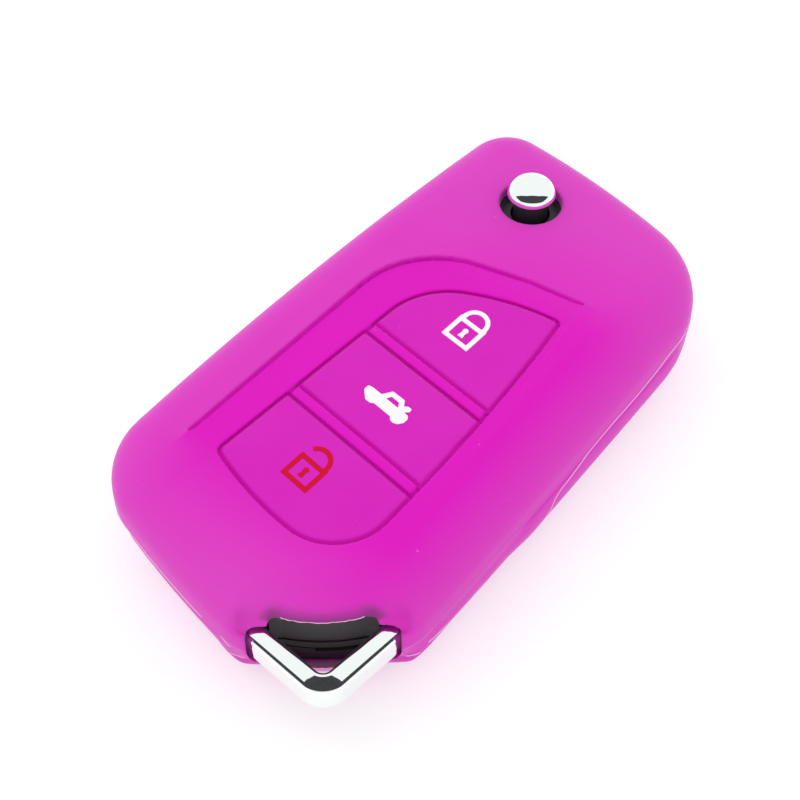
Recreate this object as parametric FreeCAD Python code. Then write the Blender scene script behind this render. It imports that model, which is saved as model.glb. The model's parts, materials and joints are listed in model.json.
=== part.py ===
"""Folding car key in a soft silicone cover, millimetres.

+X runs along the long side to the release button, +Y to the side that the blade folds into, +Z up.
The origin lies under the middle of the whole part, on the plane that the cover rests on.
"""
import FreeCAD
import Part

import math
import os

V = FreeCAD.Vector
UP = V(0, 0, 1)
TOUCH = 1e-4

# Silicone cover
COVER_LENGTH = 82.0
COVER_WIDTH = 42.8
COVER_HEIGHT = 16.6
COVER_WALL = 1.6
COVER_TOP_ROUND = 6.2
COVER_BOTTOM_ROUND = 6.5
COVER_LIP = 0.85
COVER_FIT = 0.1
# Corner circles of the cover's outline: thumb ear, far thumb corner, far blade corner,
# near blade corner and near ear
COVER_CORNER_SHARES = ((-0.3284, -0.347), (0.2965, -0.1965), (0.417, 0.251),
                       (-0.322, 0.266), (-0.4174, -0.1285))
COVER_CORNER_ROUNDS = (6.6, 13.0, 6.7, 10.0, 6.6)
# Radius of each side between those circles, zero where straight:
# thumb side, far end, blade side, near end and mouth
COVER_SIDE_BENDS = (3000.0, 110.0, 500.0, 160.0, 0)

# Pad panel of the cover, leaf-shaped: near curve, far corner, far curve and near corner of its outline.
# The dividers' width is from the middle of one groove to the middle of the next.
PANEL_CORNER_SHARES = ((-0.273, -0.126), (0.154, -0.241), (0.029, -0.067), (-0.304, 0.181))
PANEL_CORNER_ROUNDS = (6.95, 0.8, 9.2, 1.0)
PANEL_SIDE_BENDS = (250.0, 30.0, 0, 45.0)
# Shallow dish round the panel, deepest at its far blade side and running out towards the ring corner
DISH_CORNER_SHARES = ((-0.273, -0.126), (0.198, -0.249), (0.049, 0.002), (-0.300, 0.282))
DISH_CORNER_ROUNDS = (9.5, 1.0, 11.6, 1.0)
DISH_SIDE_BENDS = (250.0, 60.0, 0, 45.0)
DISH_DROP = 0.45
DISH_START = -14.0
DISH_RUN = 27.0
DISH_HEADING = 60.0
GROOVE_WIDTH = 0.5
GROOVE_DEPTH = 0.45
DIVIDER_WIDTH = 1.75
DIVIDER_TILT = 10.1
DIVIDER_SHARES = (-0.182, -0.021)
PAD_FLANGE_THICKNESS = 0.4
PAD_FLANGE_REACH = 0.3
PAD_SLACK = 0.05
PAD_EDGE_ROUND = 0.3
PAD_TRAVEL = 0.4

# Casing of the key
CASE_WALL = 1.3
KEY_RECESS = 0.8
KEY_RECESS_REACH = 1.2
POCKET_CORNER_SHARES = ((-0.314, -0.410), (0.198, -0.410), (0.198, 0.134), (-0.369, 0.134),
                        (-0.369, -0.158), (-0.314, -0.286))
RUNNING_GAP = 0.3
SEAT_GAP = 0.03
OVERRUN = 2.0

# Key ring loop, a square bar bent round the open corner
LOOP_CORNER_SHARES = (-0.503, -0.431)
LOOP_TURN = 7.0
LOOP_SPAN = 14.0
LOOP_BAR_WIDTH = 2.3
LOOP_BAR_HEIGHT = 4.2
LOOP_RISE = 0.4
LOOP_FOOT_REACH = 6.0
LOOP_OUTER_ROUND = 3.2
LOOP_SHOULDER_ROUND = 1.8
LOOP_INNER_ROUND = 1.2
LOOP_EDGE_ROUND = 0.7
LOOP_NOTCH_GAP = 0.3
# Mouth of the cover round the loop: a window that is wide at the loop and narrower above it under a sagging
# lip, a notch in its lower lip for the ring, and a slanting chin under that.
# Depths at the ring corner are from the loop's outer corner, straight inwards.
MOUTH_WIDTH = 16.6
MOUTH_RISE = 4.8
MOUTH_DROP = 2.0
MOUTH_ROUND = 1.5
LIP_WIDTH = 11.8
LIP_RISE = 6.0
LIP_SAG = 0.9
LIP_ROUND = 0.8
RING_NOTCH_WIDTH = 12.8
RING_NOTCH_DEPTH = 8.9
CHIN_DEPTH = 11.15
CHIN_SLOPE = 57.0
# Wall of the casing behind the loop, bowed out. The upper half hangs over it as a skirt with a proud rim,
# down to a seam and a slot to prise it open.
CASE_WALL_DEPTH = 9.83
CASE_NOSE_RADIUS = 20.0
CASE_NOSE_RISE = 0.5
CASE_SKIRT_DROP = 2.8
CASE_SKIRT_WIDTH = 10.4
CASE_SKIRT_THICKNESS = 1.2
CASE_RIM_HEIGHT = 1.0
CASE_RIM_STEP = 0.2
CASE_SEAM_HEIGHT = 0.2
CASE_SEAM_DEPTH = 0.3
PRISE_SLOT_START = -1.1
PRISE_SLOT_END = 4.6
PRISE_SLOT_HEIGHT = 0.7
PRISE_SLOT_DEPTH = 1.3

# Case screw
SCREW_SHARES = (-0.409, 0.018)
SCREW_HEAD_RADIUS = 2.0
SCREW_HEAD_HEIGHT = 1.2
SCREW_SINK = 1.0
SCREW_SHANK_RADIUS = 0.9
SCREW_LENGTH = 8.0
SCREW_CROSS_WIDTH = 0.6
SCREW_CROSS_DEPTH = 0.7

# Folding blade and its hub
PIVOT_SHARES = (0.344, 0.076)
HUB_RADIUS = 8.0
HUB_FLOAT = 0.2
HUB_EDGE_BEVEL = 0.5
PIVOT_POST_RADIUS = 1.8
PIVOT_POST_HEIGHT = 1.5
PIVOT_FIT = 0.08
BLADE_TILT = 3.0
BLADE_WIDTH = 8.0
BLADE_THICKNESS = 2.2
BLADE_INNER = 3.7
BLADE_TIP_MARGIN = 12.6
BLADE_TIP_LENGTH = 3.5
BLADE_TIP_WIDTH = 2.4
BLADE_SHOULDER = 3.4
BLADE_SLOT_GAP = 0.4
BLADE_TAB_WIDTH = 2.6
BLADE_TAB_BACK = 4.0
BLADE_GROOVE_WIDTH = 2.2
BLADE_GROOVE_DEPTH = 0.5
BLADE_CUT_PITCH = 4.2
BLADE_CUT_START = 20.0
BLADE_CUT_END = 3.0
BLADE_CUT_FLAT = 1.0
BLADE_CUT_RAMP = 1.2
BLADE_CUT_DEPTH = 1.2
BLADE_CUT_SHARES = (0.4, 0.9, 0.6, 1.0, 0.3, 0.7, 0.5)
BLADE_PIN_RADIUS = 0.7
BLADE_PIN_LENGTH = 7.0

# Release button over the hub
BUTTON_HOLE_RADIUS = 3.9
BUTTON_HOLE_LIP = 0.35
BUTTON_CAP_RADIUS = 3.0
BUTTON_CAP_HEIGHT = 2.05
BUTTON_CAP_CROWN = 0.3
BUTTON_CAP_ROUND = 1.1
BUTTON_CAP_WALL = 0.9
BUTTON_STANDS = 3.4
BUTTON_TRAVEL = 2.5
BUTTON_STEM_RADIUS = 2.2
BUTTON_WELL_RADIUS = 3.5
BUTTON_WELL_DEPTH = 0.3
STEM_FLANGE_RADIUS = 3.0
STEM_FLANGE_HEIGHT = 1.0
STEM_PIN_RADIUS = 1.1
SPRING_WIRE = 0.6
SPRING_RADIUS = 1.9
SPRING_TURNS = 3
SPRING_BORE_FLOOR = 0.9

# Remote electronics, stacked from the case floor up
CONTACT_THICKNESS = 0.3
CONTACT_WIDTH = 4.0
CONTACT_RISE = 0.3
CONTACT_BUMP_RADIUS = 1.2
CELL_RADIUS = 10.0
CELL_HEIGHT = 3.2
CELL_CAN_STEP = 0.6
CELL_SHARES = (-0.070, -0.147)
CRADLE_GAP = 0.15
CRADLE_WALL = 0.9
CRADLE_HEIGHT = 2.0
BOARD_THICKNESS = 0.8
BOARD_GAP = 0.4
POST_RADIUS = 1.2
POST_SHARES = ((-0.335, 0.080), (0.168, 0.080), (0.168, -0.355), (-0.287, -0.355))
SWITCH_WIDTH = 4.6
SWITCH_HEIGHT = 0.9
PLUNGER_RADIUS = 1.3
PLUNGER_RISE = 0.45
PLUNGER_DEPTH = 0.3
PLUNGER_GAP = 0.1
MAT_THICKNESS = 0.6
KEY_INSET = 2.0
KEY_GAP = 0.3
KEY_MARGIN = 0.8
KEY_STEM_RADIUS = 1.6
CHIP_WIDTH = 5.0
CHIP_HEIGHT = 0.9
CHIP_SHARES = (-0.020, -0.300)
CRYSTAL_LENGTH = 3.2
CRYSTAL_WIDTH = 2.5
CRYSTAL_HEIGHT = 0.8
CRYSTAL_SHARES = (0.150, -0.020)
TRANSPONDER_LENGTH = 11.0
TRANSPONDER_WIDTH = 5.5
TRANSPONDER_HEIGHT = 3.0
TRANSPONDER_SHARES = (0.281, -0.305)

# Levels worked out from the sizes above
CASE_BOTTOM = COVER_WALL + COVER_FIT
CASE_TOP = COVER_HEIGHT - COVER_WALL - COVER_FIT
CASE_INSET = COVER_WALL + COVER_FIT
CASE_SPLIT = (CASE_BOTTOM + CASE_TOP) / 2
CASE_SEAM = CASE_SPLIT - CASE_SKIRT_DROP
CASE_FLOOR = CASE_BOTTOM + CASE_WALL
CASE_CEILING = CASE_TOP - CASE_WALL
KEY_DECK = CASE_TOP - KEY_RECESS
KEY_CEILING = KEY_DECK - CASE_WALL
LIP_UNDERSIDE = COVER_HEIGHT - DISH_DROP - COVER_LIP
FLANGE_TOP = LIP_UNDERSIDE - PAD_SLACK
FLANGE_BOTTOM = FLANGE_TOP - PAD_FLANGE_THICKNESS
SCREW_BOTTOM = CASE_BOTTOM + SCREW_SINK
SCREW_HEAD_TOP = SCREW_BOTTOM + SCREW_HEAD_HEIGHT
SCREW_TOP = SCREW_BOTTOM + SCREW_LENGTH
CELL_BOTTOM = CASE_FLOOR + CONTACT_THICKNESS
CELL_TOP = CELL_BOTTOM + CELL_HEIGHT
BOARD_BOTTOM = CELL_TOP + CONTACT_THICKNESS + CONTACT_RISE
BOARD_TOP = BOARD_BOTTOM + BOARD_THICKNESS
SWITCH_TOP = BOARD_TOP + SWITCH_HEIGHT
PLUNGER_TOP = SWITCH_TOP + PLUNGER_RISE
MAT_BOTTOM = KEY_CEILING - MAT_THICKNESS
HUB_BOTTOM = CASE_FLOOR + HUB_FLOAT
HUB_TOP = CASE_CEILING - RUNNING_GAP
HUB_CAVITY_RADIUS = HUB_RADIUS + RUNNING_GAP
BLADE_BOTTOM = CASE_SPLIT - BLADE_THICKNESS / 2
BLADE_TOP = CASE_SPLIT + BLADE_THICKNESS / 2
BLADE_OUTER = BLADE_INNER + BLADE_WIDTH
BUTTON_TOP = COVER_HEIGHT + BUTTON_STANDS
CAP_BOTTOM = BUTTON_TOP - BUTTON_CAP_HEIGHT
FLANGE_REST = CASE_CEILING - RUNNING_GAP
SPRING_TOP = FLANGE_REST - STEM_FLANGE_HEIGHT
SPRING_FLOOR = HUB_BOTTOM + PIVOT_POST_HEIGHT + SPRING_BORE_FLOOR
COUNTERBORE_FLOOR = SPRING_TOP - BUTTON_TRAVEL - RUNNING_GAP
SPRING_BORE_RADIUS = SPRING_RADIUS + SPRING_WIRE / 2 + RUNNING_GAP
COUNTERBORE_RADIUS = STEM_FLANGE_RADIUS + RUNNING_GAP


def place(shares):
    """Point in plan from its shares of the cover's length and width."""
    return V(shares[0] * COVER_LENGTH, shares[1] * COVER_WIDTH, 0)


PIVOT = place(PIVOT_SHARES)
LOOP_CORNER = place(LOOP_CORNER_SHARES)
NEAR_BLADE_CORNER = place(COVER_CORNER_SHARES[3])
BLADE_REACH = PIVOT.x - NEAR_BLADE_CORNER.x + COVER_CORNER_ROUNDS[3] - BLADE_TIP_MARGIN


def blade_point(along, across, z=0):
    """Point in the folded blade's frame: along it from the pivot, and across it to the blade side."""
    tilt = math.radians(BLADE_TILT)
    x = PIVOT.x - along * math.cos(tilt) + across * math.sin(tilt)
    y = PIVOT.y + along * math.sin(tilt) + across * math.cos(tilt)
    return V(x, y, z)


def loop_point(first, second, z=0):
    """Point in the ring loop's frame: first along its thumb-side leg, second along its near-end leg."""
    turn = math.radians(LOOP_TURN)
    x = LOOP_CORNER.x + first * math.cos(turn) + second * math.sin(turn)
    y = LOOP_CORNER.y - first * math.sin(turn) + second * math.cos(turn)
    return V(x, y, z)


def corner_point(along, depth, z=0):
    """Point in the frame of the ring corner: along the mouth to the thumb side, and inwards from the loop."""
    return loop_point((depth + along) * math.sqrt(0.5), (depth - along) * math.sqrt(0.5), z)


def lift(face, bottom, top):
    """Solid that stands on a face drawn at zero height, from bottom to top."""
    solid = face.extrude(V(0, 0, top - bottom))
    solid.translate(V(0, 0, bottom))
    return solid


def polygon(points):
    return Part.Face(Part.makePolygon(list(points) + [points[0]]))


def block(centre, length, width, bottom, top):
    """Upright box about a point in plan."""
    corner = V(centre.x - length / 2, centre.y - width / 2, bottom)
    return Part.makeBox(length, width, top - bottom, corner)


def rod(centre, radius, bottom, top):
    """Upright cylinder about a point in plan."""
    return Part.makeCylinder(radius, top - bottom, V(centre.x, centre.y, bottom))


def tangent_side(here, there, near_round, far_round, bend, grow):
    """Start, middle and end of the side that touches two corner circles: an arc, or straight with no bend."""
    gap = (there - here).Length
    forward = (there - here) / gap
    inward = V(-forward.y, forward.x, 0)
    if bend == 0:
        lean = (near_round - far_round) / gap
        outward = forward * lean - inward * math.sqrt(1 - lean ** 2)
        start = here + outward * (near_round + grow)
        end = there + outward * (far_round + grow)
        return start, (start + end) / 2, end
    near = bend - near_round
    far = bend - far_round
    run = (near ** 2 - far ** 2 + gap ** 2) / (2 * gap)
    centre = here + forward * run + inward * math.sqrt(near ** 2 - run ** 2)
    reach = bend + grow
    start = centre + (here - centre).normalize() * reach
    end = centre + (there - centre).normalize() * reach
    return start, centre + ((start + end) / 2 - centre).normalize() * reach, end


def belt(corner_shares, rounds, bends, grow=0):
    """Face inside an outline of corner circles and the sides that touch them, moved outwards by grow."""
    centres = [place(shares) for shares in corner_shares]
    count = len(centres)
    sides = []
    for index in range(count):
        after = (index + 1) % count
        sides.append(tangent_side(centres[index], centres[after], rounds[index], rounds[after],
                                  bends[index], grow))
    edges = []
    for index in range(count):
        centre = centres[index]
        before = sides[index - 1][2]
        start, middle, end = sides[index]
        outward = ((before - centre).normalize() + (start - centre).normalize()).normalize()
        edges.append(Part.Arc(before, centre + outward * (rounds[index] + grow), start).toShape())
        if bends[index] == 0:
            edges.append(Part.makeLine(start, end))
        else:
            edges.append(Part.Arc(start, middle, end).toShape())
    return Part.Face(Part.Wire(edges))


def cover_belt(inset):
    return belt(COVER_CORNER_SHARES, COVER_CORNER_ROUNDS, COVER_SIDE_BENDS, -inset)


def level_edges(solid, z):
    """Edges of a solid that lie flat at one height."""
    found = []
    for edge in solid.Edges:
        heights = [vertex.Z for vertex in edge.Vertexes] + [edge.CenterOfMass.z]
        if all(abs(height - z) < TOUCH for height in heights):
            found.append(edge)
    return found


def upright_edges(solid, point):
    """Straight upright edges of a solid over a point in plan."""
    found = []
    for edge in solid.Edges:
        ends = [vertex.Point for vertex in edge.Vertexes]
        if len(ends) == 2 and (V(ends[0].x, ends[0].y, 0) - V(ends[1].x, ends[1].y, 0)).Length < TOUCH:
            if (V(ends[0].x, ends[0].y, 0) - V(point.x, point.y, 0)).Length < TOUCH:
                found.append(edge)
    return found


def rounded_body(inset, bottom, top):
    """Cover-shaped block with rounded rims, set in from the cover's outside."""
    solid = lift(cover_belt(inset), bottom, top)
    solid = solid.makeFillet(COVER_TOP_ROUND - inset, level_edges(solid, top))
    return solid.makeFillet(COVER_BOTTOM_ROUND - inset, level_edges(solid, bottom))


def panel_prism(grow, bottom, top):
    return lift(belt(PANEL_CORNER_SHARES, PANEL_CORNER_ROUNDS, PANEL_SIDE_BENDS, grow), bottom, top)


def divider_line(index, side, grow):
    """Ends of one edge of a divider strip, moved off the strip by grow."""
    slope = math.tan(math.radians(DIVIDER_TILT))
    offset = side * (DIVIDER_WIDTH / 2 + grow) / math.cos(math.radians(DIVIDER_TILT))
    middle = DIVIDER_SHARES[index] * COVER_LENGTH + offset
    return (V(middle - slope * COVER_WIDTH, -COVER_WIDTH, 0), V(middle + slope * COVER_WIDTH, COVER_WIDTH, 0))


def pad_prism(index, grow, bottom, top):
    """Block with the outline of one pad window, moved outwards by grow."""
    near = (V(-COVER_LENGTH, -COVER_WIDTH, 0), V(-COVER_LENGTH, COVER_WIDTH, 0))
    far = (V(COVER_LENGTH, -COVER_WIDTH, 0), V(COVER_LENGTH, COVER_WIDTH, 0))
    if index > 0:
        near = divider_line(index - 1, 1, -grow)
    if index < len(DIVIDER_SHARES):
        far = divider_line(index, -1, -grow)
    slab = lift(polygon((near[0], far[0], far[1], near[1])), bottom, top)
    return panel_prism(grow, bottom, top).common(slab)


def dish_wedge():
    """Sloping cut whose floor sinks from the cover's top towards the far blade side."""
    heading = V(math.cos(math.radians(DISH_HEADING)), math.sin(math.radians(DISH_HEADING)), 0)
    sideways = V(-heading.y, heading.x, 0)
    start = heading * DISH_START - sideways * COVER_LENGTH + UP * COVER_HEIGHT
    end = start + heading * DISH_RUN * 2 - UP * DISH_DROP * 2
    headroom = UP * OVERRUN
    side = polygon((start, end, end + headroom, start + headroom))
    return side.extrude(sideways * COVER_LENGTH * 2)


def loop_bar(gap):
    """Ring loop grown by a gap all round: two legs at a right angle and two feet turned inwards."""
    low = -gap
    high = LOOP_SPAN + gap
    inner = LOOP_BAR_WIDTH + gap
    foot = LOOP_SPAN - LOOP_BAR_WIDTH - gap
    reach = LOOP_FOOT_REACH + gap
    corners = ((low, low), (high, low), (high, reach), (foot, reach), (foot, inner),
               (inner, inner), (inner, foot), (reach, foot), (reach, high), (low, high))
    bottom = CASE_SPLIT + LOOP_RISE - LOOP_BAR_HEIGHT / 2 - gap
    top = CASE_SPLIT + LOOP_RISE + LOOP_BAR_HEIGHT / 2 + gap
    bar = lift(polygon([loop_point(*corner) for corner in corners]), bottom, top)
    rounds = ((corners[0], LOOP_OUTER_ROUND), (corners[1], LOOP_SHOULDER_ROUND),
              (corners[9], LOOP_SHOULDER_ROUND), (corners[5], LOOP_INNER_ROUND))
    for corner, radius in rounds:
        bar = bar.makeFillet(radius, upright_edges(bar, loop_point(*corner)))
    rims = level_edges(bar, bottom) + level_edges(bar, top)
    return bar.makeFillet(LOOP_EDGE_ROUND, rims)


def corner_block(start, end, depth, bottom, top):
    """Block that takes away the ring corner between two places along it, in to a depth."""
    outside = -COVER_WIDTH
    points = (corner_point(start, outside), corner_point(end, outside), corner_point(end, depth),
              corner_point(start, depth))
    return lift(polygon(points), bottom, top)


def mouth_window():
    """Opening of the cover round the loop, rounded at its corners."""
    half = MOUTH_WIDTH / 2
    reach = CASE_WALL_DEPTH + OVERRUN
    window = corner_block(-half, half, reach, CASE_SPLIT - MOUTH_DROP, CASE_SPLIT + MOUTH_RISE)
    inward_edges = [edge for edge in window.Edges if abs(edge.Length - COVER_WIDTH - reach) < TOUCH]
    return window.makeFillet(MOUTH_ROUND, inward_edges)


def lip_window():
    """Upper part of the mouth, whose top edge sags in the middle."""
    half = LIP_WIDTH / 2
    outside = -COVER_WIDTH
    reach = CASE_WALL_DEPTH + OVERRUN
    top = CASE_SPLIT + LIP_RISE
    start = corner_point(half, outside, top)
    end = corner_point(-half, outside, top)
    sag = Part.Arc(start, corner_point(0, outside, top - LIP_SAG), end).toShape()
    sides = Part.makePolygon([end, corner_point(-half, outside, CASE_SPLIT),
                              corner_point(half, outside, CASE_SPLIT), start])
    inward = corner_point(0, reach) - corner_point(0, outside)
    window = Part.Face(Part.Wire([sag] + sides.Edges)).extrude(inward)
    upper_edges = [edge for edge in window.Edges if edge.BoundBox.ZMin > top - TOUCH]
    return window.makeFillet(LIP_ROUND, upper_edges)


def ring_notch():
    half = RING_NOTCH_WIDTH / 2
    return corner_block(-half, half, RING_NOTCH_DEPTH, -OVERRUN, CASE_SPLIT)


def chin_wedge():
    """Slanting cut under the mouth that takes away the lower edge of the cover's ring corner."""
    outside = -COVER_WIDTH
    rise = COVER_HEIGHT
    run = rise / math.tan(math.radians(CHIN_SLOPE))
    corners = (corner_point(outside, CHIN_DEPTH + run, -rise), corner_point(outside, CHIN_DEPTH - run, rise),
               corner_point(outside, outside, rise), corner_point(outside, outside, -rise))
    return polygon(corners).extrude(corner_point(-outside, 0) - corner_point(outside, 0))


def case_corner(sink, bottom, top):
    """Wedge that opens the casing's ring corner and leaves the wall there bowed out as a shallow nose."""
    far = COVER_WIDTH
    depth = CASE_WALL_DEPTH + sink
    wedge = corner_block(-far, far, depth + CASE_NOSE_RISE, bottom, top)
    return wedge.cut(rod(corner_point(0, depth + CASE_NOSE_RADIUS), CASE_NOSE_RADIUS, bottom, top))


def case_skirt():
    """Part of the bowed wall that hangs from the casing's upper half."""
    half = CASE_SKIRT_WIDTH / 2
    return corner_block(-half, half, CASE_WALL_DEPTH + CASE_SKIRT_THICKNESS, CASE_SEAM, CASE_SPLIT)


def prise_slot():
    """Slot under the seam of the bowed wall, for a coin or blade that opens the casing."""
    depth = CASE_WALL_DEPTH + PRISE_SLOT_DEPTH
    return corner_block(PRISE_SLOT_START, PRISE_SLOT_END, depth, CASE_SEAM - PRISE_SLOT_HEIGHT, CASE_SEAM)


def blade_slot(gap):
    """Space that the blade needs from folded to open, with a gap above and below it."""
    far = COVER_LENGTH
    inner = BLADE_INNER - BLADE_SLOT_GAP
    tip = BLADE_REACH + BLADE_SLOT_GAP
    folded = polygon((blade_point(tip, inner), blade_point(-far, inner),
                      blade_point(-far, far), blade_point(tip, far)))
    left = PIVOT.x + BLADE_SHOULDER - BLADE_SLOT_GAP
    low = PIVOT.y - BLADE_OUTER - BLADE_SLOT_GAP
    opened = polygon((V(left, low, 0), V(far, low, 0), V(far, COVER_WIDTH, 0), V(left, COVER_WIDTH, 0)))
    bottom = BLADE_BOTTOM - gap
    top = BLADE_TOP + gap
    return lift(folded, bottom, top).fuse(lift(opened, bottom, top))


def pocket_prism(inset, bottom, top):
    """Block with the outline of the electronics pocket, inside the case wall."""
    outline = Part.makePolygon([place(shares) for shares in POCKET_CORNER_SHARES + POCKET_CORNER_SHARES[:1]])
    if inset > 0:
        outline = outline.makeOffset2D(-inset, 2)
    walls = lift(cover_belt(CASE_INSET + CASE_WALL + inset), bottom, top)
    return lift(Part.Face(outline), bottom, top).common(walls)


def key_prism(index, grow, bottom, top):
    """Block with the outline of one of the key's own buttons, inside its pad and the pocket."""
    window = pad_prism(index, 0, 0, top - bottom)
    outline = Part.Wire(Part.__sortEdges__(level_edges(window, 0)))
    cap = lift(Part.Face(outline.makeOffset2D(grow - KEY_INSET, 2)), bottom, top)
    return cap.common(pocket_prism(KEY_MARGIN - grow, bottom, top)).Solids[0]


PAD_NAMES = ("unlock", "trunk", "lock")
PADS = range(len(PAD_NAMES))


def key_centre(index):
    centre = key_prism(index, 0, MAT_BOTTOM, KEY_CEILING).CenterOfMass
    return V(centre.x, centre.y, 0)


def button_hole():
    """Round hole over the release button, flared at its top by a rounded lip."""
    bottom = CASE_CEILING
    straight = COVER_HEIGHT - BUTTON_HOLE_LIP
    slant = BUTTON_HOLE_LIP * (1 - math.sqrt(0.5))
    wide = BUTTON_HOLE_RADIUS + BUTTON_HOLE_LIP
    bend = Part.Arc(V(BUTTON_HOLE_RADIUS, 0, straight),
                    V(BUTTON_HOLE_RADIUS + slant, 0, COVER_HEIGHT - slant),
                    V(wide, 0, COVER_HEIGHT)).toShape()
    path = Part.makePolygon([V(wide, 0, COVER_HEIGHT), V(wide, 0, COVER_HEIGHT + OVERRUN),
                             V(0, 0, COVER_HEIGHT + OVERRUN), V(0, 0, bottom),
                             V(BUTTON_HOLE_RADIUS, 0, bottom), V(BUTTON_HOLE_RADIUS, 0, straight)])
    hole = Part.Face(Part.Wire([bend] + path.Edges)).revolve(V(0, 0, 0), UP, 360)
    hole.translate(PIVOT)
    return hole


def silicone_cover():
    cover = rounded_body(0, 0, COVER_HEIGHT)
    cover = cover.cut(rounded_body(COVER_WALL, COVER_WALL, COVER_HEIGHT - COVER_WALL))
    dish = lift(belt(DISH_CORNER_SHARES, DISH_CORNER_ROUNDS, DISH_SIDE_BENDS),
                LIP_UNDERSIDE, COVER_HEIGHT + OVERRUN)
    cover = cover.cut(dish.common(dish_wedge()))
    cover = cover.cut(panel_prism(PAD_FLANGE_REACH + GROOVE_WIDTH, CASE_CEILING, LIP_UNDERSIDE))
    for index in PADS:
        cover = cover.cut(pad_prism(index, GROOVE_WIDTH / 2, CASE_CEILING, COVER_HEIGHT + OVERRUN))
    cover = cover.cut(button_hole())
    cover = cover.cut(blade_slot(BLADE_SLOT_GAP + COVER_FIT))
    cover = cover.cut(mouth_window().fuse(lip_window()))
    cover = cover.cut(ring_notch())
    cover = cover.cut(chin_wedge())
    return cover.cut(loop_bar(LOOP_NOTCH_GAP))


def pad_block(index, grow, bottom):
    """Block with the outline of one pad window whose top follows the cover's dished face."""
    return pad_prism(index, grow, bottom, COVER_HEIGHT).cut(dish_wedge())


def pad(index):
    """Printed pad of the cover: raised plug, floor of the groove round it, flange under the window's edge."""
    plug = pad_block(index, -GROOVE_WIDTH / 2, FLANGE_BOTTOM)
    top_edges = [edge for edge in plug.Edges if edge.BoundBox.ZMin > FLANGE_TOP]
    plug = plug.makeFillet(PAD_EDGE_ROUND, top_edges)
    groove_floor = pad_block(index, GROOVE_WIDTH / 2 - PAD_SLACK, FLANGE_BOTTOM + GROOVE_DEPTH)
    groove_floor.translate(UP * -GROOVE_DEPTH)
    flange = pad_prism(index, GROOVE_WIDTH / 2 + PAD_FLANGE_REACH, FLANGE_BOTTOM, FLANGE_TOP)
    return plug.fuse([groove_floor, flange]).removeSplitter()


def case_body():
    """Whole casing before it is split, hollowed for the board, hub, blade and loop."""
    body = rounded_body(CASE_INSET, CASE_BOTTOM, CASE_TOP)
    body = body.cut(case_corner(0, CASE_BOTTOM - OVERRUN, CASE_TOP + OVERRUN))
    body = body.cut(case_corner(CASE_RIM_STEP, CASE_SEAM + CASE_RIM_HEIGHT, CASE_TOP + OVERRUN))
    body = body.cut(case_corner(CASE_SEAM_DEPTH, CASE_SEAM - CASE_SEAM_HEIGHT, CASE_SEAM))
    body = body.cut(loop_bar(SEAT_GAP))
    body = body.cut(blade_slot(BLADE_SLOT_GAP))
    return body.cut(rod(PIVOT, HUB_CAVITY_RADIUS, CASE_FLOOR, CASE_CEILING))


def half_space(bottom, top):
    corner = V(-COVER_LENGTH, -COVER_WIDTH, bottom)
    return Part.makeBox(COVER_LENGTH * 2, COVER_WIDTH * 2, top - bottom, corner)


def screw_hole(radius, bottom, top):
    return rod(place(SCREW_SHARES), radius, bottom, top)


def upper_case():
    case = case_body().common(half_space(CASE_SPLIT, CASE_TOP + OVERRUN).fuse(case_skirt()))
    case = case.cut(panel_prism(KEY_RECESS_REACH, KEY_DECK, CASE_TOP + OVERRUN))
    case = case.cut(pocket_prism(0, CASE_SPLIT - OVERRUN, KEY_CEILING))
    for index in PADS:
        case = case.cut(key_prism(index, KEY_GAP, MAT_BOTTOM, KEY_DECK + OVERRUN))
    case = case.cut(rod(PIVOT, BUTTON_STEM_RADIUS + RUNNING_GAP, CASE_CEILING - OVERRUN, CASE_TOP + OVERRUN))
    case = case.cut(rod(PIVOT, BUTTON_WELL_RADIUS, CASE_TOP - BUTTON_WELL_DEPTH, CASE_TOP + OVERRUN))
    return case.cut(screw_hole(SCREW_SHANK_RADIUS + SEAT_GAP, CASE_SPLIT - OVERRUN, SCREW_TOP + SEAT_GAP))


def lower_case():
    case = case_body().common(half_space(CASE_BOTTOM - OVERRUN, CASE_SPLIT).cut(case_skirt()))
    case = case.cut(pocket_prism(0, CASE_FLOOR, CASE_SPLIT + OVERRUN))
    cell = place(CELL_SHARES)
    cradle = rod(cell, CELL_RADIUS + CRADLE_GAP + CRADLE_WALL, CASE_FLOOR, CELL_BOTTOM + CRADLE_HEIGHT)
    case = case.fuse(cradle.common(pocket_prism(0, CASE_FLOOR, CASE_SPLIT)))
    for shares in POST_SHARES:
        case = case.fuse(rod(place(shares), POST_RADIUS, CASE_FLOOR, BOARD_BOTTOM))
    case = case.cut(rod(cell, CELL_RADIUS + CRADLE_GAP, CASE_FLOOR, BOARD_BOTTOM + OVERRUN))
    case = case.cut(contact_gate())
    case = case.fuse(rod(PIVOT, PIVOT_POST_RADIUS, CASE_FLOOR, CASE_FLOOR + PIVOT_POST_HEIGHT))
    case = case.cut(transponder_pocket())
    case = case.cut(prise_slot())
    case = case.cut(screw_hole(SCREW_SHANK_RADIUS + SEAT_GAP, SCREW_BOTTOM, CASE_SPLIT + OVERRUN))
    case = case.cut(screw_hole(SCREW_HEAD_RADIUS + SEAT_GAP, CASE_BOTTOM - OVERRUN, SCREW_HEAD_TOP))
    return case.removeSplitter()


def contact_gate():
    """Gap in the cell's cradle for the upright leg of the lower contact."""
    cell = place(CELL_SHARES)
    length = CRADLE_WALL + CRADLE_GAP + CONTACT_THICKNESS
    middle = cell + V(CELL_RADIUS + length / 2 + CRADLE_GAP, 0, 0)
    return block(middle, length * 2, CONTACT_WIDTH + RUNNING_GAP * 2, CASE_FLOOR, BOARD_BOTTOM)


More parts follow.
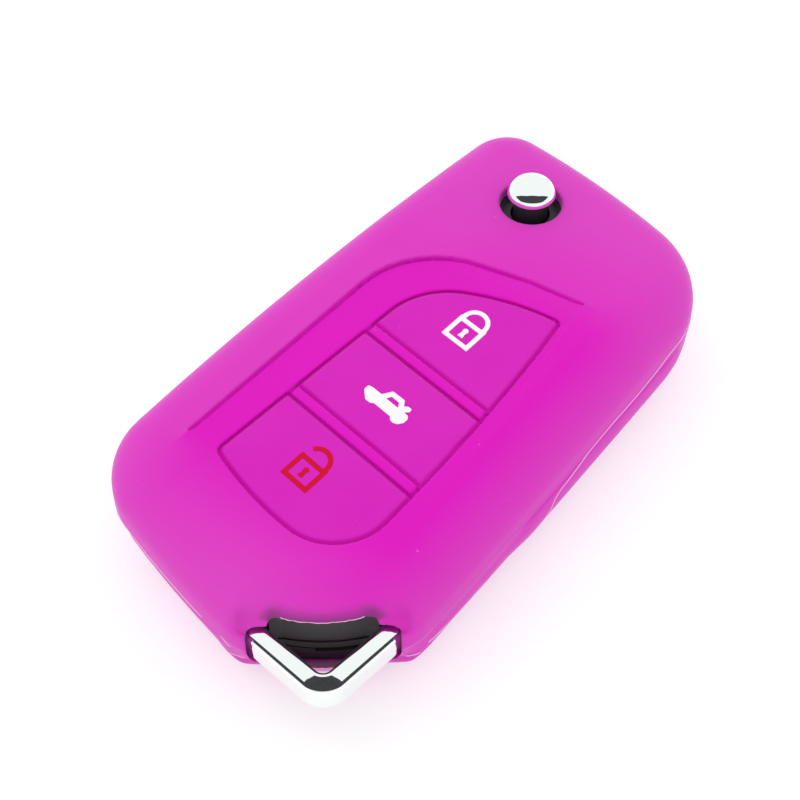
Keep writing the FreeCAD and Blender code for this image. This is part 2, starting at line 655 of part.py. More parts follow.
def transponder_pocket():
    length = TRANSPONDER_LENGTH + SEAT_GAP * 2
    width = TRANSPONDER_WIDTH + SEAT_GAP * 2
    bottom = CASE_SPLIT - TRANSPONDER_HEIGHT
    return block(place(TRANSPONDER_SHARES), length, width, bottom, CASE_SPLIT + OVERRUN)


def transponder_chip():
    bottom = CASE_SPLIT - TRANSPONDER_HEIGHT
    top = CASE_SPLIT - SEAT_GAP
    return block(place(TRANSPONDER_SHARES), TRANSPONDER_LENGTH, TRANSPONDER_WIDTH, bottom, top)


def case_screw():
    head = screw_hole(SCREW_HEAD_RADIUS, SCREW_BOTTOM, SCREW_HEAD_TOP)
    shank = screw_hole(SCREW_SHANK_RADIUS, SCREW_BOTTOM, SCREW_TOP)
    screw = head.fuse(shank)
    centre = place(SCREW_SHARES)
    cross_top = SCREW_BOTTOM + SCREW_CROSS_DEPTH
    for length, width in ((SCREW_HEAD_RADIUS, SCREW_CROSS_WIDTH), (SCREW_CROSS_WIDTH, SCREW_HEAD_RADIUS)):
        screw = screw.cut(block(centre, length, width, SCREW_BOTTOM - OVERRUN, cross_top))
    return screw.removeSplitter()


def circuit_board():
    return pocket_prism(BOARD_GAP, BOARD_BOTTOM, BOARD_TOP)


def switch_body(index):
    centre = key_centre(index)
    body = block(centre, SWITCH_WIDTH, SWITCH_WIDTH, BOARD_TOP, SWITCH_TOP)
    bottom = SWITCH_TOP - PLUNGER_DEPTH - PAD_TRAVEL - PLUNGER_GAP
    return body.cut(rod(centre, PLUNGER_RADIUS + PLUNGER_GAP, bottom, SWITCH_TOP + OVERRUN))


def switch_plunger(index):
    return rod(key_centre(index), PLUNGER_RADIUS, SWITCH_TOP - PLUNGER_DEPTH, PLUNGER_TOP)


def button_key(index):
    """One of the key's own buttons: a shaped cap in the case window and a stem down to its switch."""
    cap = key_prism(index, 0, MAT_BOTTOM, FLANGE_BOTTOM)
    stem = rod(key_centre(index), KEY_STEM_RADIUS, PLUNGER_TOP, MAT_BOTTOM)
    return cap.fuse(stem).removeSplitter()


def keypad_mat():
    mat = pocket_prism(BOARD_GAP, MAT_BOTTOM, KEY_CEILING)
    for index in PADS:
        mat = mat.cut(key_prism(index, KEY_GAP, MAT_BOTTOM - OVERRUN, KEY_CEILING + OVERRUN))
    return mat


def coin_cell():
    centre = place(CELL_SHARES)
    can = rod(centre, CELL_RADIUS, CELL_BOTTOM + CELL_CAN_STEP, CELL_TOP)
    lid = rod(centre, CELL_RADIUS - CELL_CAN_STEP, CELL_BOTTOM, CELL_BOTTOM + CELL_CAN_STEP)
    return can.fuse(lid).removeSplitter()


def cell_contact_top():
    """Spring strip on the cell with a bump that meets the board."""
    centre = place(CELL_SHARES)
    strip = block(centre, CELL_RADIUS, CONTACT_WIDTH, CELL_TOP, CELL_TOP + CONTACT_THICKNESS)
    return strip.fuse(rod(centre, CONTACT_BUMP_RADIUS, CELL_TOP, BOARD_BOTTOM)).removeSplitter()


def cell_contact_bottom():
    """Spring strip under the cell with a leg that stands up to the board beside it."""
    cell = place(CELL_SHARES)
    outer = CELL_RADIUS + CRADLE_GAP + CRADLE_WALL
    strip = block(cell + V(outer / 2, 0, 0), outer, CONTACT_WIDTH, CASE_FLOOR, CELL_BOTTOM)
    leg_middle = cell + V(outer - CONTACT_THICKNESS / 2, 0, 0)
    leg = block(leg_middle, CONTACT_THICKNESS, CONTACT_WIDTH, CASE_FLOOR, BOARD_BOTTOM)
    return strip.fuse(leg).removeSplitter()


def controller_chip():
    return block(place(CHIP_SHARES), CHIP_WIDTH, CHIP_WIDTH, BOARD_TOP, BOARD_TOP + CHIP_HEIGHT)


def crystal_can():
    return block(place(CRYSTAL_SHARES), CRYSTAL_LENGTH, CRYSTAL_WIDTH, BOARD_TOP, BOARD_TOP + CRYSTAL_HEIGHT)


def key_blade():
    """Steel blade with cut edges, a milled groove on both faces and a tab that the hub holds."""
    tab_outer = BLADE_INNER + BLADE_TAB_WIDTH
    middle = BLADE_INNER + BLADE_WIDTH / 2
    neck = BLADE_REACH - BLADE_TIP_LENGTH
    outer_edge = [(BLADE_SHOULDER, BLADE_OUTER)]
    inner_edge = [(-BLADE_TAB_BACK, BLADE_INNER)]
    count = int((neck - BLADE_CUT_END - BLADE_CUT_START) / BLADE_CUT_PITCH + 1)
    for index in range(count):
        share = BLADE_CUT_SHARES[index % len(BLADE_CUT_SHARES)]
        along = BLADE_CUT_START + index * BLADE_CUT_PITCH
        depth = share * BLADE_CUT_DEPTH
        ramp = BLADE_CUT_RAMP * share
        stations = ((-BLADE_CUT_FLAT / 2 - ramp, 0), (-BLADE_CUT_FLAT / 2, depth),
                    (BLADE_CUT_FLAT / 2, depth), (BLADE_CUT_FLAT / 2 + ramp, 0))
        for step, sink in stations:
            outer_edge.append((along + step, BLADE_OUTER - sink))
            inner_edge.append((along + step, BLADE_INNER + sink))
    tip = [(neck, BLADE_INNER), (BLADE_REACH, middle - BLADE_TIP_WIDTH / 2),
           (BLADE_REACH, middle + BLADE_TIP_WIDTH / 2), (neck, BLADE_OUTER)]
    tab = [(BLADE_SHOULDER, tab_outer), (-BLADE_TAB_BACK, tab_outer)]
    outline = inner_edge + tip + outer_edge[::-1] + tab
    blade = lift(polygon([blade_point(*point) for point in outline]), BLADE_BOTTOM, BLADE_TOP)
    start = HUB_RADIUS + RUNNING_GAP
    half = BLADE_GROOVE_WIDTH / 2
    groove = polygon([blade_point(start, middle - half), blade_point(BLADE_REACH + OVERRUN, middle - half),
                      blade_point(BLADE_REACH + OVERRUN, middle + half), blade_point(start, middle + half)])
    blade = blade.cut(lift(groove, BLADE_TOP - BLADE_GROOVE_DEPTH, BLADE_TOP + OVERRUN))
    blade = blade.cut(lift(groove, BLADE_BOTTOM - OVERRUN, BLADE_BOTTOM + BLADE_GROOVE_DEPTH))
    return blade.cut(pin_rod(BLADE_PIN_RADIUS + SEAT_GAP, BLADE_BOTTOM - OVERRUN, BLADE_TOP + OVERRUN))


def pin_rod(radius, bottom, top):
    return rod(blade_point(0, BLADE_INNER + BLADE_TAB_WIDTH / 2), radius, bottom, top)


def blade_pin():
    return pin_rod(BLADE_PIN_RADIUS, CASE_SPLIT - BLADE_PIN_LENGTH / 2, CASE_SPLIT + BLADE_PIN_LENGTH / 2)


def blade_hub():
    """Drum that turns on the case's post, holds the blade's tab and guides the release button."""
    hub = rod(PIVOT, HUB_RADIUS, HUB_BOTTOM, HUB_TOP)
    hub = hub.makeChamfer(HUB_EDGE_BEVEL, level_edges(hub, HUB_BOTTOM) + level_edges(hub, HUB_TOP))
    post_top = CASE_FLOOR + PIVOT_POST_HEIGHT + HUB_FLOAT
    hub = hub.cut(rod(PIVOT, PIVOT_POST_RADIUS + PIVOT_FIT, HUB_BOTTOM - OVERRUN, post_top))
    hub = hub.cut(rod(PIVOT, SPRING_BORE_RADIUS, SPRING_FLOOR, HUB_TOP + OVERRUN))
    hub = hub.cut(rod(PIVOT, COUNTERBORE_RADIUS, COUNTERBORE_FLOOR, HUB_TOP + OVERRUN))
    back = -BLADE_TAB_BACK - SEAT_GAP
    inner = BLADE_INNER - SEAT_GAP
    far = HUB_RADIUS * 2
    slot = polygon((blade_point(back, inner), blade_point(far, inner),
                    blade_point(far, far), blade_point(back, far)))
    hub = hub.cut(lift(slot, BLADE_BOTTOM - SEAT_GAP, BLADE_TOP + SEAT_GAP))
    half = BLADE_PIN_LENGTH / 2
    return hub.cut(pin_rod(BLADE_PIN_RADIUS + SEAT_GAP, CASE_SPLIT - half, CASE_SPLIT + half))


def release_cap():
    """Chrome disc with a domed crown, a rounded rim and a socket for the stem."""
    dome_radius = (BUTTON_CAP_RADIUS ** 2 + BUTTON_CAP_CROWN ** 2) / (2 * BUTTON_CAP_CROWN)
    cap = rod(PIVOT, BUTTON_CAP_RADIUS, CAP_BOTTOM, BUTTON_TOP + OVERRUN)
    cap = cap.common(Part.makeSphere(dome_radius, PIVOT + UP * (BUTTON_TOP - dome_radius)))
    cap = cap.makeFillet(BUTTON_CAP_ROUND, level_edges(cap, BUTTON_TOP - BUTTON_CAP_CROWN))
    socket_top = BUTTON_TOP - BUTTON_CAP_WALL
    return cap.cut(rod(PIVOT, BUTTON_STEM_RADIUS + SEAT_GAP, CAP_BOTTOM - OVERRUN, socket_top))


def release_stem():
    """Plunger of the release button: shaft under the cap, flange on the spring, pin inside it."""
    shaft = rod(PIVOT, BUTTON_STEM_RADIUS, SPRING_TOP, BUTTON_TOP - BUTTON_CAP_WALL)
    flange = rod(PIVOT, STEM_FLANGE_RADIUS, SPRING_TOP, FLANGE_REST)
    pin_bottom = SPRING_FLOOR + BUTTON_TRAVEL + RUNNING_GAP
    pin = rod(PIVOT, STEM_PIN_RADIUS, pin_bottom, SPRING_TOP)
    return shaft.fuse([flange, pin]).removeSplitter()


def flip_spring():
    """Coil spring between the hub's bore and the stem's flange."""
    low = SPRING_FLOOR + SPRING_WIRE / 2 + SEAT_GAP
    high = SPRING_TOP - SPRING_WIRE / 2 - SEAT_GAP
    pitch = (high - low) / SPRING_TURNS
    half_turns = []
    for step in range(SPRING_TURNS * 2):
        side = 1 - step % 2 * 2
        start = V(side * SPRING_RADIUS, 0, step * pitch / 2)
        end = V(-side * SPRING_RADIUS, 0, (step + 1) * pitch / 2)
        middle = (start + end) / 2 + V(0, side * (end - start).Length / 2, 0)
        half_turns.append(Part.Arc(start, middle, end).toShape())
    ring = Part.Wire(Part.makeCircle(SPRING_WIRE / 2, V(SPRING_RADIUS, 0, 0), V(0, 1, 0)))
    coil = Part.Wire(half_turns).makePipeShell([ring], True, False)
    coil.translate(PIVOT + UP * low)
    print("spring: least gap between turns", round(pitch - SPRING_WIRE, 3))
    return coil


def build():
    nodes = {
        "silicone_cover": silicone_cover(),
        "upper_case": upper_case(),
        "lower_case": lower_case(),
        "key_ring_loop": loop_bar(0),
        "case_screw": case_screw(),
        "keypad_mat": keypad_mat(),
        "circuit_board": circuit_board(),
        "switch_bodies": Part.makeCompound([switch_body(index) for index in PADS]),
        "controller_chip": controller_chip(),
        "crystal_can": crystal_can(),
        "coin_cell": coin_cell(),
        "cell_contact_top": cell_contact_top(),
        "cell_contact_bottom": cell_contact_bottom(),
        "transponder_chip": transponder_chip(),
        "blade_hub": blade_hub(),
        "key_blade": key_blade(),
        "blade_pin": blade_pin(),
        "flip_spring": flip_spring(),
        "release_cap": release_cap(),
        "release_stem": release_stem(),
    }
    for index, name in enumerate(PAD_NAMES):
        nodes[name + "_pad"] = pad(index)
        nodes[name + "_key"] = button_key(index)
        nodes[name + "_plunger"] = switch_plunger(index)
    return nodes


os.makedirs("parts", exist_ok=True)
for node, shape in build().items():
    shape.exportStep("parts/" + node + ".step")
    box = shape.BoundBox
    print(node, len(shape.Solids), shape.isValid(), round(shape.Volume, 1),
          [round(v, 2) for v in (box.XMin, box.XMax, box.YMin, box.YMax, box.ZMin, box.ZMax)])
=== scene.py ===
# %% [markdown]
# # A silicone cover on a folding car key
# The real thing is a soft moulded skin pulled over a key: pads for three buttons, a chrome release
# button in a round hole, and an open corner where a chrome ring loop sticks out of the black casing.
# The packed CAD model is loaded first and never moved. Every piece made here takes its place from it.

import json
import math

import bmesh
import bpy
import numpy as np
from mathutils import Matrix, Vector
from mathutils.bvhtree import BVHTree


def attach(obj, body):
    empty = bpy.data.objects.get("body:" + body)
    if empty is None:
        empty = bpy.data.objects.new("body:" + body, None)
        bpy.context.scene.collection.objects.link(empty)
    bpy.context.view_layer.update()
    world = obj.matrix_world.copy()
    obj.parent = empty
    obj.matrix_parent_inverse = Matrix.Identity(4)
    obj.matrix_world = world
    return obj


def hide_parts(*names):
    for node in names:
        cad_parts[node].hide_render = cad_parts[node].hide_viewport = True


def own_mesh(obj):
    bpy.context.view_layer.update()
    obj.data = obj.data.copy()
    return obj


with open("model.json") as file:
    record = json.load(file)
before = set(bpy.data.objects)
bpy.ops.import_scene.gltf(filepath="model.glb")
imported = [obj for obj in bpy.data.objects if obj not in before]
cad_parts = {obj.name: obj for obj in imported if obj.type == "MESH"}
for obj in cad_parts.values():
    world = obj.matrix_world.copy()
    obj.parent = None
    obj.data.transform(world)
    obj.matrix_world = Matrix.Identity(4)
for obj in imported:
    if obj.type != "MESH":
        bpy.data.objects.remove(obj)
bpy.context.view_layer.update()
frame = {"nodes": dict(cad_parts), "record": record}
scene = bpy.context.scene
MM = 0.001

# %% [markdown]
# ## Camera
# A camera can be guessed by eye or worked out. This one was worked out from the round button hole and
# the parallel grooves, so its place and aim are given as points and its lens as a length.

# %% Camera
CAMERA_PLACE = Vector((-113.56, -82.95, 173.1)) * MM
CAMERA_AIM = Vector((-7.76, -3.25, 16.6)) * MM
lens = bpy.data.cameras.new("camera")
lens.lens = 81
lens.sensor_width = 36
lens.clip_start = 10 * MM
camera = bpy.data.objects.new("camera", lens)
camera.location = CAMERA_PLACE
camera.rotation_euler = (CAMERA_AIM - CAMERA_PLACE).to_track_quat("-Z", "Y").to_euler()
scene.collection.objects.link(camera)
scene.camera = camera
print("camera", round((CAMERA_AIM - CAMERA_PLACE).length / MM), "mm from its aim")

# %% [markdown]
# ## Shader arithmetic
# Finishes are built from nodes. Wiring Math nodes by hand hides the sum they make, so one small class
# wraps a socket and lets plus, minus and times add those nodes, and one method adds any other node.

# %% Sums of sockets
class Value:
    """An output socket of a finish that takes part in plain arithmetic."""

    def __init__(self, finish, socket):
        self.finish = finish
        self.socket = socket

    def math(self, operation, first, second):
        return self.finish.node("ShaderNodeMath", {"operation": operation}, {0: first, 1: second})

    def __add__(self, other):
        return self.math("ADD", self, other)

    def __sub__(self, other):
        return self.math("SUBTRACT", self, other)

    def __rsub__(self, other):
        return self.math("SUBTRACT", other, self)

    def __mul__(self, other):
        return self.math("MULTIPLY", self, other)

    def least(self, other):
        return self.math("MINIMUM", self, other)

    def most(self, other):
        return self.math("MAXIMUM", self, other)

    def size(self):
        return self.math("ABSOLUTE", self, 0)

    __radd__ = __add__
    __rmul__ = __mul__


print("besides sums, a Value has", [name for name in vars(Value) if not name.startswith("_")])

# %% Finish
class Finish:
    """A node material under construction, with one Principled shader."""

    def __init__(self, name, **constants):
        self.material = bpy.data.materials.new(name)
        self.material.use_nodes = True
        self.tree = self.material.node_tree
        self.shader = self.tree.nodes["Principled BSDF"]
        for socket, value in constants.items():
            self.shader.inputs[socket.replace("_", " ")].default_value = value
        self.place = self.node("ShaderNodeTexCoord", {}, {}, "Object")

    def node(self, kind, settings, sockets, output=0):
        made = self.tree.nodes.new(kind)
        for name, value in settings.items():
            setattr(made, name, value)
        for name, value in sockets.items():
            self.plug(made.inputs[name], value)
        return Value(self, made.outputs[output])

    def plug(self, target, value):
        if isinstance(value, Value):
            self.tree.links.new(value.socket, target)
        else:
            target.default_value = value

    def wire(self, **sockets):
        for name, value in sockets.items():
            self.plug(self.shader.inputs[name.replace("_", " ")], value)
        return self

    def axis(self, name):
        """One coordinate of a place, in millimetres."""
        return self.node("ShaderNodeSeparateXYZ", {}, {"Vector": self.place}, name) * (1 / MM)

    def noise(self, size, detail=2.0, stretch=(1, 1, 1)):
        """Soft random values whose blotches are about size metres across, drawn out by stretch."""
        where = self.node("ShaderNodeMapping", {}, {"Vector": self.place, "Scale": stretch}, "Vector")
        sockets = {"Vector": where, "Scale": 1 / size, "Detail": detail, "Roughness": 0.5}
        return self.node("ShaderNodeTexNoise", {"normalize": True}, sockets, "Fac")

    def ramp(self, value, low, high):
        """Zero below low, one above high, smooth between."""
        settings = {"interpolation_type": "SMOOTHSTEP"}
        sockets = {"Value": value, "From Min": low, "From Max": high}
        return self.node("ShaderNodeMapRange", settings, sockets, "Result")

    def mix(self, share, first, second):
        """Colour between two colours."""
        settings = {"data_type": "RGBA"}
        return self.node("ShaderNodeMix", settings, {"Factor": share, "A": first, "B": second}, "Result")

    def bump(self, height, depth):
        """Normal of a surface that rises by depth metres where height is one."""
        return self.node("ShaderNodeBump", {}, {"Height": height, "Distance": depth}, "Normal")


print("a Finish has", [name for name in vars(Finish) if not name.startswith("_")])

# %% Screen colours
def rgb(red, green, blue):
    """Shader colour from the 0 to 255 values of a screen colour."""
    linear = []
    for level in (red / 255, green / 255, blue / 255):
        linear.append(level / 12.92 if level <= 0.04045 else ((level + 0.055) / 1.055) ** 2.4)
    return (*linear, 1.0)


print("mid grey is", [round(level, 3) for level in rgb(128, 128, 128)])

# %% [markdown]
# ## Where the skin takes painted reflection
# The skin is tinted silicone. Its rim is blasted, and its paler colour there is a painted reflection of the
# tent, strongest on the far rim towards the lamp. The sunk panel comes from a smooth part of the mould and
# keeps the deeper tint, with a sharp change at the line round its far side, which is darkened with painted
# shade. A painted mask would need a map over the whole cover. Here the mask is worked out from the place of a
# point instead, so it stays sharp at any distance.

# %% Outline of the sunk panel
BEND_CENTRE = np.array((4.02, 0.09))
BEND_RADIUS = 11.6
LINE_NEAR_X = -25.4
LINE_THUMB_Y = -11.6


def bend_points(start, end, count):
    """Points on the round far corner of the sunk panel, angles in degrees."""
    angles = np.radians(np.linspace(start, end, count))
    around = np.column_stack((np.cos(angles), np.sin(angles)))
    return [tuple(point) for point in BEND_CENTRE + BEND_RADIUS * around]


PANEL_AREA = np.array([(19.0, -30), (16.75, -4.4), *bend_points(8, 87, 9), (-40, 13.8), (-40, -30)])


def depth_inside(finish, corners):
    """How deep a place lies inside an outline whose corners, in millimetres, run anticlockwise."""
    deepest = 1000
    for corner, following in zip(corners, np.roll(corners, -1, axis=0)):
        run = (following - corner) / np.linalg.norm(following - corner)
        aside = np.array((-run[1], run[0], 0))
        sockets = {0: finish.place, 1: aside / MM}
        gap = finish.node("ShaderNodeVectorMath", {"operation": "DOT_PRODUCT"}, sockets, "Value")
        deepest = (gap - float(corner @ aside[:2])).least(deepest)
    return deepest


print("panel outline has", len(PANEL_AREA), "corners")

# %% Painted reflection on the rim and painted shade along the line
SHARP_EDGE = (-0.1, 0.1)
SOFT_EDGE = (-4, 4)
SOFT_NEAR_X = -29
SOFT_THUMB_Y = -15
LINE_HALF = (0.14, 0.3)
LINE_END = 0.2
RIM_PAINTED_REFLECTION = 0.33
FAR_RIM_PAINTED_REFLECTION = 0.42
FAR_RIM = (-6, 12)
THUMB_SIDE = (-25, -14.5)
RING_END = (-42, -23)
BUTTON_END = (10, 34)
ABOVE_BOTTOM = (1.5, 4)
UPPER_SIDE = (14.6, 15)


def painted_reflection_and_line_shade(finish):
    """Share of painted reflection on the cover at a place, and how close the place is to the panel's line."""
    x, y, z = finish.axis("X"), finish.axis("Y"), finish.axis("Z")
    depth = depth_inside(finish, PANEL_AREA)
    lined = finish.ramp(x, SOFT_NEAR_X, LINE_NEAR_X) * finish.ramp(y, SOFT_THUMB_Y, LINE_THUMB_Y)
    inside = finish.ramp(depth, *SHARP_EDGE) * lined + finish.ramp(depth, *SOFT_EDGE) * (1 - lined)
    # Painted reflection of the tent on the blasted rim, strongest on the far rim towards the lamp.
    rim = (1 - inside) * (RIM_PAINTED_REFLECTION + finish.ramp(y, *FAR_RIM) * FAR_RIM_PAINTED_REFLECTION)
    clear = (1 - rim) * finish.ramp(y, *THUMB_SIDE) * finish.ramp(z, *ABOVE_BOTTOM)
    clear = clear * finish.ramp(x, *RING_END) * (1 - finish.ramp(x, *BUTTON_END))
    # Painted shade along the panel's line.
    line = (1 - finish.ramp(depth.size(), *LINE_HALF)) * finish.ramp(z, *UPPER_SIDE)
    line = line * finish.ramp(x, LINE_NEAR_X - LINE_END, LINE_NEAR_X)
    line = line * finish.ramp(y, LINE_THUMB_Y - LINE_END, LINE_THUMB_Y)
    return 1 - clear, line


print("haze falls from", round(RIM_PAINTED_REFLECTION + FAR_RIM_PAINTED_REFLECTION, 2), "on the far rim to", RIM_PAINTED_REFLECTION, "on the near one")

# %% Painted shade in the grooves round the pads
PANEL_HIGH = 16.6
PANEL_AT_ORIGIN = 16.367
PANEL_AHEAD = (0.5, 0.866)
PANEL_FALL = 1 / 60
GROOVE_DEPTH = (0.07, 0.26)
PADS_X = ((-30.6, -30.4), (14.8, 15))
PADS_Y = ((-13.7, -13.5), (9.8, 10))
PADS_RING_CORNER = (-42.2, -41.5)


def panel_slope(x, y):
    """Height of the sunk panel's sloping floor, which levels off at PANEL_HIGH."""
    return PANEL_AT_ORIGIN - (x * PANEL_AHEAD[0] + y * PANEL_AHEAD[1]) * PANEL_FALL


def painted_groove_shade(finish):
    """One where a place lies below the sloping floor of the sunk panel, in a groove that gets painted shade.
    """
    x, y, z = finish.axis("X"), finish.axis("Y"), finish.axis("Z")
    level = panel_slope(x, y).least(PANEL_HIGH)
    near_pads = finish.ramp(x + y, *PADS_RING_CORNER) * finish.ramp(z, *UPPER_SIDE)
    for place, (start, end) in ((x, PADS_X), (y, PADS_Y)):
        near_pads = near_pads * finish.ramp(place, *start) * (1 - finish.ramp(place, *end))
    return finish.ramp(level - z, *GROOVE_DEPTH) * near_pads


print("panel lies at", round(panel_slope(0, 0), 2), "mm over the origin")

# %% [markdown]
# ## Silicone
# Over the ring corner the lip is so thin that the black casing darkens it. Below the loop, light from the
# floor is painted on as a paler tint. How thin the skin is and how much painted floor light it takes will be
# stored on the points of the cover, and the finish mixes both in. A fine grain breaks up the highlight, a few
# specks of dust cling to the skin, and sheen pales it at a flat angle. In the grooves, where light bounces
# from skin to skin, the tint is deepened with painted shade.

# %% Silicone finish
SILICONE = rgb(224, 16, 193)
SILICONE_PAD = rgb(216, 24, 189)
# Paler colour of random mottle on the pads and of the painted reflection on the cover's rim.
SILICONE_MOTTLE_AND_PAINTED_REFLECTION = rgb(223, 70, 197)
# Painted shade in the grooves and along the panel's line.
SILICONE_PAINTED_GROOVE_SHADE = rgb(212, 0, 180)
# Pale colour of dust specks, and of painted light: floor light on the sill and sleeves, highlight on the
# flash beads.
SILICONE_DUST_AND_PAINTED_LIGHT = rgb(250, 208, 240)
SILICONE_DARKENED = rgb(92, 56, 90)
SILICONE_SHEEN = rgb(255, 215, 246)
GRAIN_SIZE = 0.16 * MM
GRAIN_DEPTH = 0.008 * MM
CLOUD_SIZE = 9 * MM
DUST_SIZE = 0.5 * MM
DUST_LEVEL = (0.88, 0.92)
DUST_SHARE = 0.12
PAD_HAZE = 0.25
GROOVE_SHADE_SHARE = 0.9


def silicone_finish(name, colour, cover=False):
    silicone = Finish(name, IOR=1.41, Specular_IOR_Level=0.15, Sheen_Weight=0.45, Sheen_Roughness=0.3,
                      Sheen_Tint=SILICONE_SHEEN)
    clouds = silicone.noise(CLOUD_SIZE)
    grain = silicone.noise(GRAIN_SIZE)
    dust = silicone.ramp(silicone.noise(DUST_SIZE, detail=0.0), *DUST_LEVEL)
    reflection_and_mottle, painted_shade = clouds * PAD_HAZE, painted_groove_shade(silicone)
    if cover:
        # On the cover the paler share is painted reflection of the tent on the rim, with a little random
        # mottle.
        reflection_and_mottle, line = painted_reflection_and_line_shade(silicone)
        reflection_and_mottle, painted_shade = reflection_and_mottle * (0.9 + clouds * 0.2), painted_shade.most(line)
    tint = silicone.mix(reflection_and_mottle, colour, SILICONE_MOTTLE_AND_PAINTED_REFLECTION)
    tint = silicone.mix(dust * DUST_SHARE, tint, SILICONE_DUST_AND_PAINTED_LIGHT)
    if cover:
        # The thin share darkens the lip over the black casing; the other share is painted floor light.
        for stored, thin_tint_and_painted_light in (("thin", SILICONE_DARKENED), ("pale", SILICONE_DUST_AND_PAINTED_LIGHT)):
            share = silicone.node("ShaderNodeAttribute", {"attribute_name": stored}, {}, "Fac")
            tint = silicone.mix(share, tint, thin_tint_and_painted_light)
    return silicone.wire(
        # Grooves and the panel's line are darkened with painted shade.
        Base_Color=silicone.mix(painted_shade * GROOVE_SHADE_SHARE, tint, SILICONE_PAINTED_GROOVE_SHADE),
        Roughness=0.42 + reflection_and_mottle * 0.12 + grain * 0.08,
        Normal=silicone.bump(grain, GRAIN_DEPTH),
    )


silicone = silicone_finish("silicone", SILICONE, cover=True)
pad_silicone = silicone_finish("pad_silicone", SILICONE_PAD)
# The flash beads take a pale colour as a painted highlight.
flash_highlight_silicone = silicone_finish("flash_highlight_silicone", SILICONE_DUST_AND_PAINTED_LIGHT)
print("silicone uses", len(silicone.tree.nodes), "nodes")

# %% [markdown]
# ## Chrome, plastic and steel
# The other finishes differ in a few numbers only, so one function makes metals and one makes plastics.
# Chrome is almost a mirror with faint handling marks, brushed steel has its grain drawn out along the
# blade, and moulded plastic has a fine spark-eroded texture.

# %% Metal and plastic finishes
SMEAR_SIZE = 4 * MM
WORN_MARKS = (0.35, 0.8)
PLASTIC_CLOUD_SIZE = 3 * MM
LENGTHWISE = (0.04, 1, 1)


def metal_finish(name, colour, roughness, wear, grain, stretch=(1, 1, 1), depth=0.0, mottle=0.18):
    metal = Finish(name, Metallic=1.0)
    marks = metal.noise(grain, 3.0, stretch)
    smears = metal.noise(SMEAR_SIZE)
    shade = [level * (1 - mottle) for level in colour[:3]] + [1.0]
    sockets = {
        "Base_Color": metal.mix(marks, shade, colour),
        "Roughness": roughness + metal.ramp(marks, *WORN_MARKS) * wear + smears * (wear * 0.5),
    }
    if depth:
        sockets["Normal"] = metal.bump(marks, depth)
    return metal.wire(**sockets)


def plastic_finish(name, colour, roughness, grain=0.2 * MM, depth=0.01 * MM, lift=1.35):
    plastic = Finish(name, IOR=1.5)
    texture = plastic.noise(grain)
    clouds = plastic.noise(PLASTIC_CLOUD_SIZE)
    light = [min(1.0, level * lift) for level in colour[:3]] + [1.0]
    return plastic.wire(
        Base_Color=plastic.mix(clouds * 0.6 + texture * 0.4, colour, light),
        Roughness=roughness + texture * 0.15,
        Normal=plastic.bump(texture, depth),
    )


finishes = {
    "chrome": metal_finish("chrome", rgb(244, 250, 247), 0.03, 0.02, 0.6 * MM, mottle=0.03),
    "steel": metal_finish("steel", rgb(190, 192, 196), 0.25, 0.2, 0.3 * MM),
    "blade_steel": metal_finish("blade_steel", rgb(205, 206, 208), 0.22, 0.25, 0.12 * MM,
                                LENGTHWISE, 0.004 * MM),
    "hub_metal": metal_finish("hub_metal", rgb(140, 142, 146), 0.38, 0.2, 0.25 * MM, depth=0.02 * MM),
    "switch_metal": metal_finish("switch_metal", rgb(200, 200, 198), 0.28, 0.2, 0.2 * MM),
    "cell_steel": metal_finish("cell_steel", rgb(214, 214, 212), 0.2, 0.2, 0.15 * MM, depth=0.003 * MM),
    "contact_brass": metal_finish("contact_brass", rgb(218, 190, 120), 0.28, 0.2, 0.3 * MM),
    "case_plastic": plastic_finish("case_plastic", rgb(44, 40, 45), 0.36),
    "key_plastic": plastic_finish("key_plastic", rgb(56, 56, 58), 0.5),
    "keypad_rubber": plastic_finish("keypad_rubber", rgb(66, 66, 70), 0.65),
    "plunger_plastic": plastic_finish("plunger_plastic", rgb(226, 222, 210), 0.45, lift=1.1),
    "chip_plastic": plastic_finish("chip_plastic", rgb(40, 40, 42), 0.55),
    "board": plastic_finish("board", rgb(28, 110, 66), 0.35, grain=0.6 * MM, depth=0.02 * MM),
}
slot_of = {part["node"]: part["material_slot"] for part in frame["record"]["subparts"]}
for node, thing in frame["nodes"].items():
    thing.data.materials.clear()
    thing.data.materials.append(finishes.get(slot_of[node], silicone).material)
print("finished", len(frame["nodes"]), "CAD nodes with", len(finishes) + 1, "finishes")

# %% [markdown]
# ## Soft skin from the CAD solids
# The CAD cover has the right form but hard edges. Rubber out of a mould has small eased edges all over.
# Bevelling each edge by hand is one way. Rebuilding a copy in small even cells and easing it is quicker
# and rounds every lip alike, and those cells can then be pushed about for the soft swells and creases.

# %% Rebuilt copy of the cover
def settle(piece):
    """Applies a piece's modifiers to its mesh."""
    graph = bpy.context.evaluated_depsgraph_get()
    mesh = bpy.data.meshes.new_from_object(piece.evaluated_get(graph))
    piece.modifiers.clear()
    piece.data = mesh


def merged_copy(node, name):
    """Copy of a CAD node with the points of its faces joined."""
    mesh = frame["nodes"][node].data.copy()
    shell = bmesh.new()
    shell.from_mesh(mesh)
    bmesh.ops.remove_doubles(shell, verts=shell.verts, dist=0.001 * MM)
    shell.to_mesh(mesh)
    shell.free()
    piece = bpy.data.objects.new(name, mesh)
    scene.collection.objects.link(piece)
    return piece


def soft_copy(node, name, cell, passes):
    """Copy of a CAD node rebuilt in even cells, with its edges eased."""
    piece = merged_copy(node, name)
    cells = piece.modifiers.new("cells", "REMESH")
    cells.mode = "VOXEL"
    cells.voxel_size = cell
    ease = piece.modifiers.new("ease", "SMOOTH")
    ease.factor = 0.5
    ease.iterations = passes
    settle(piece)
    return piece


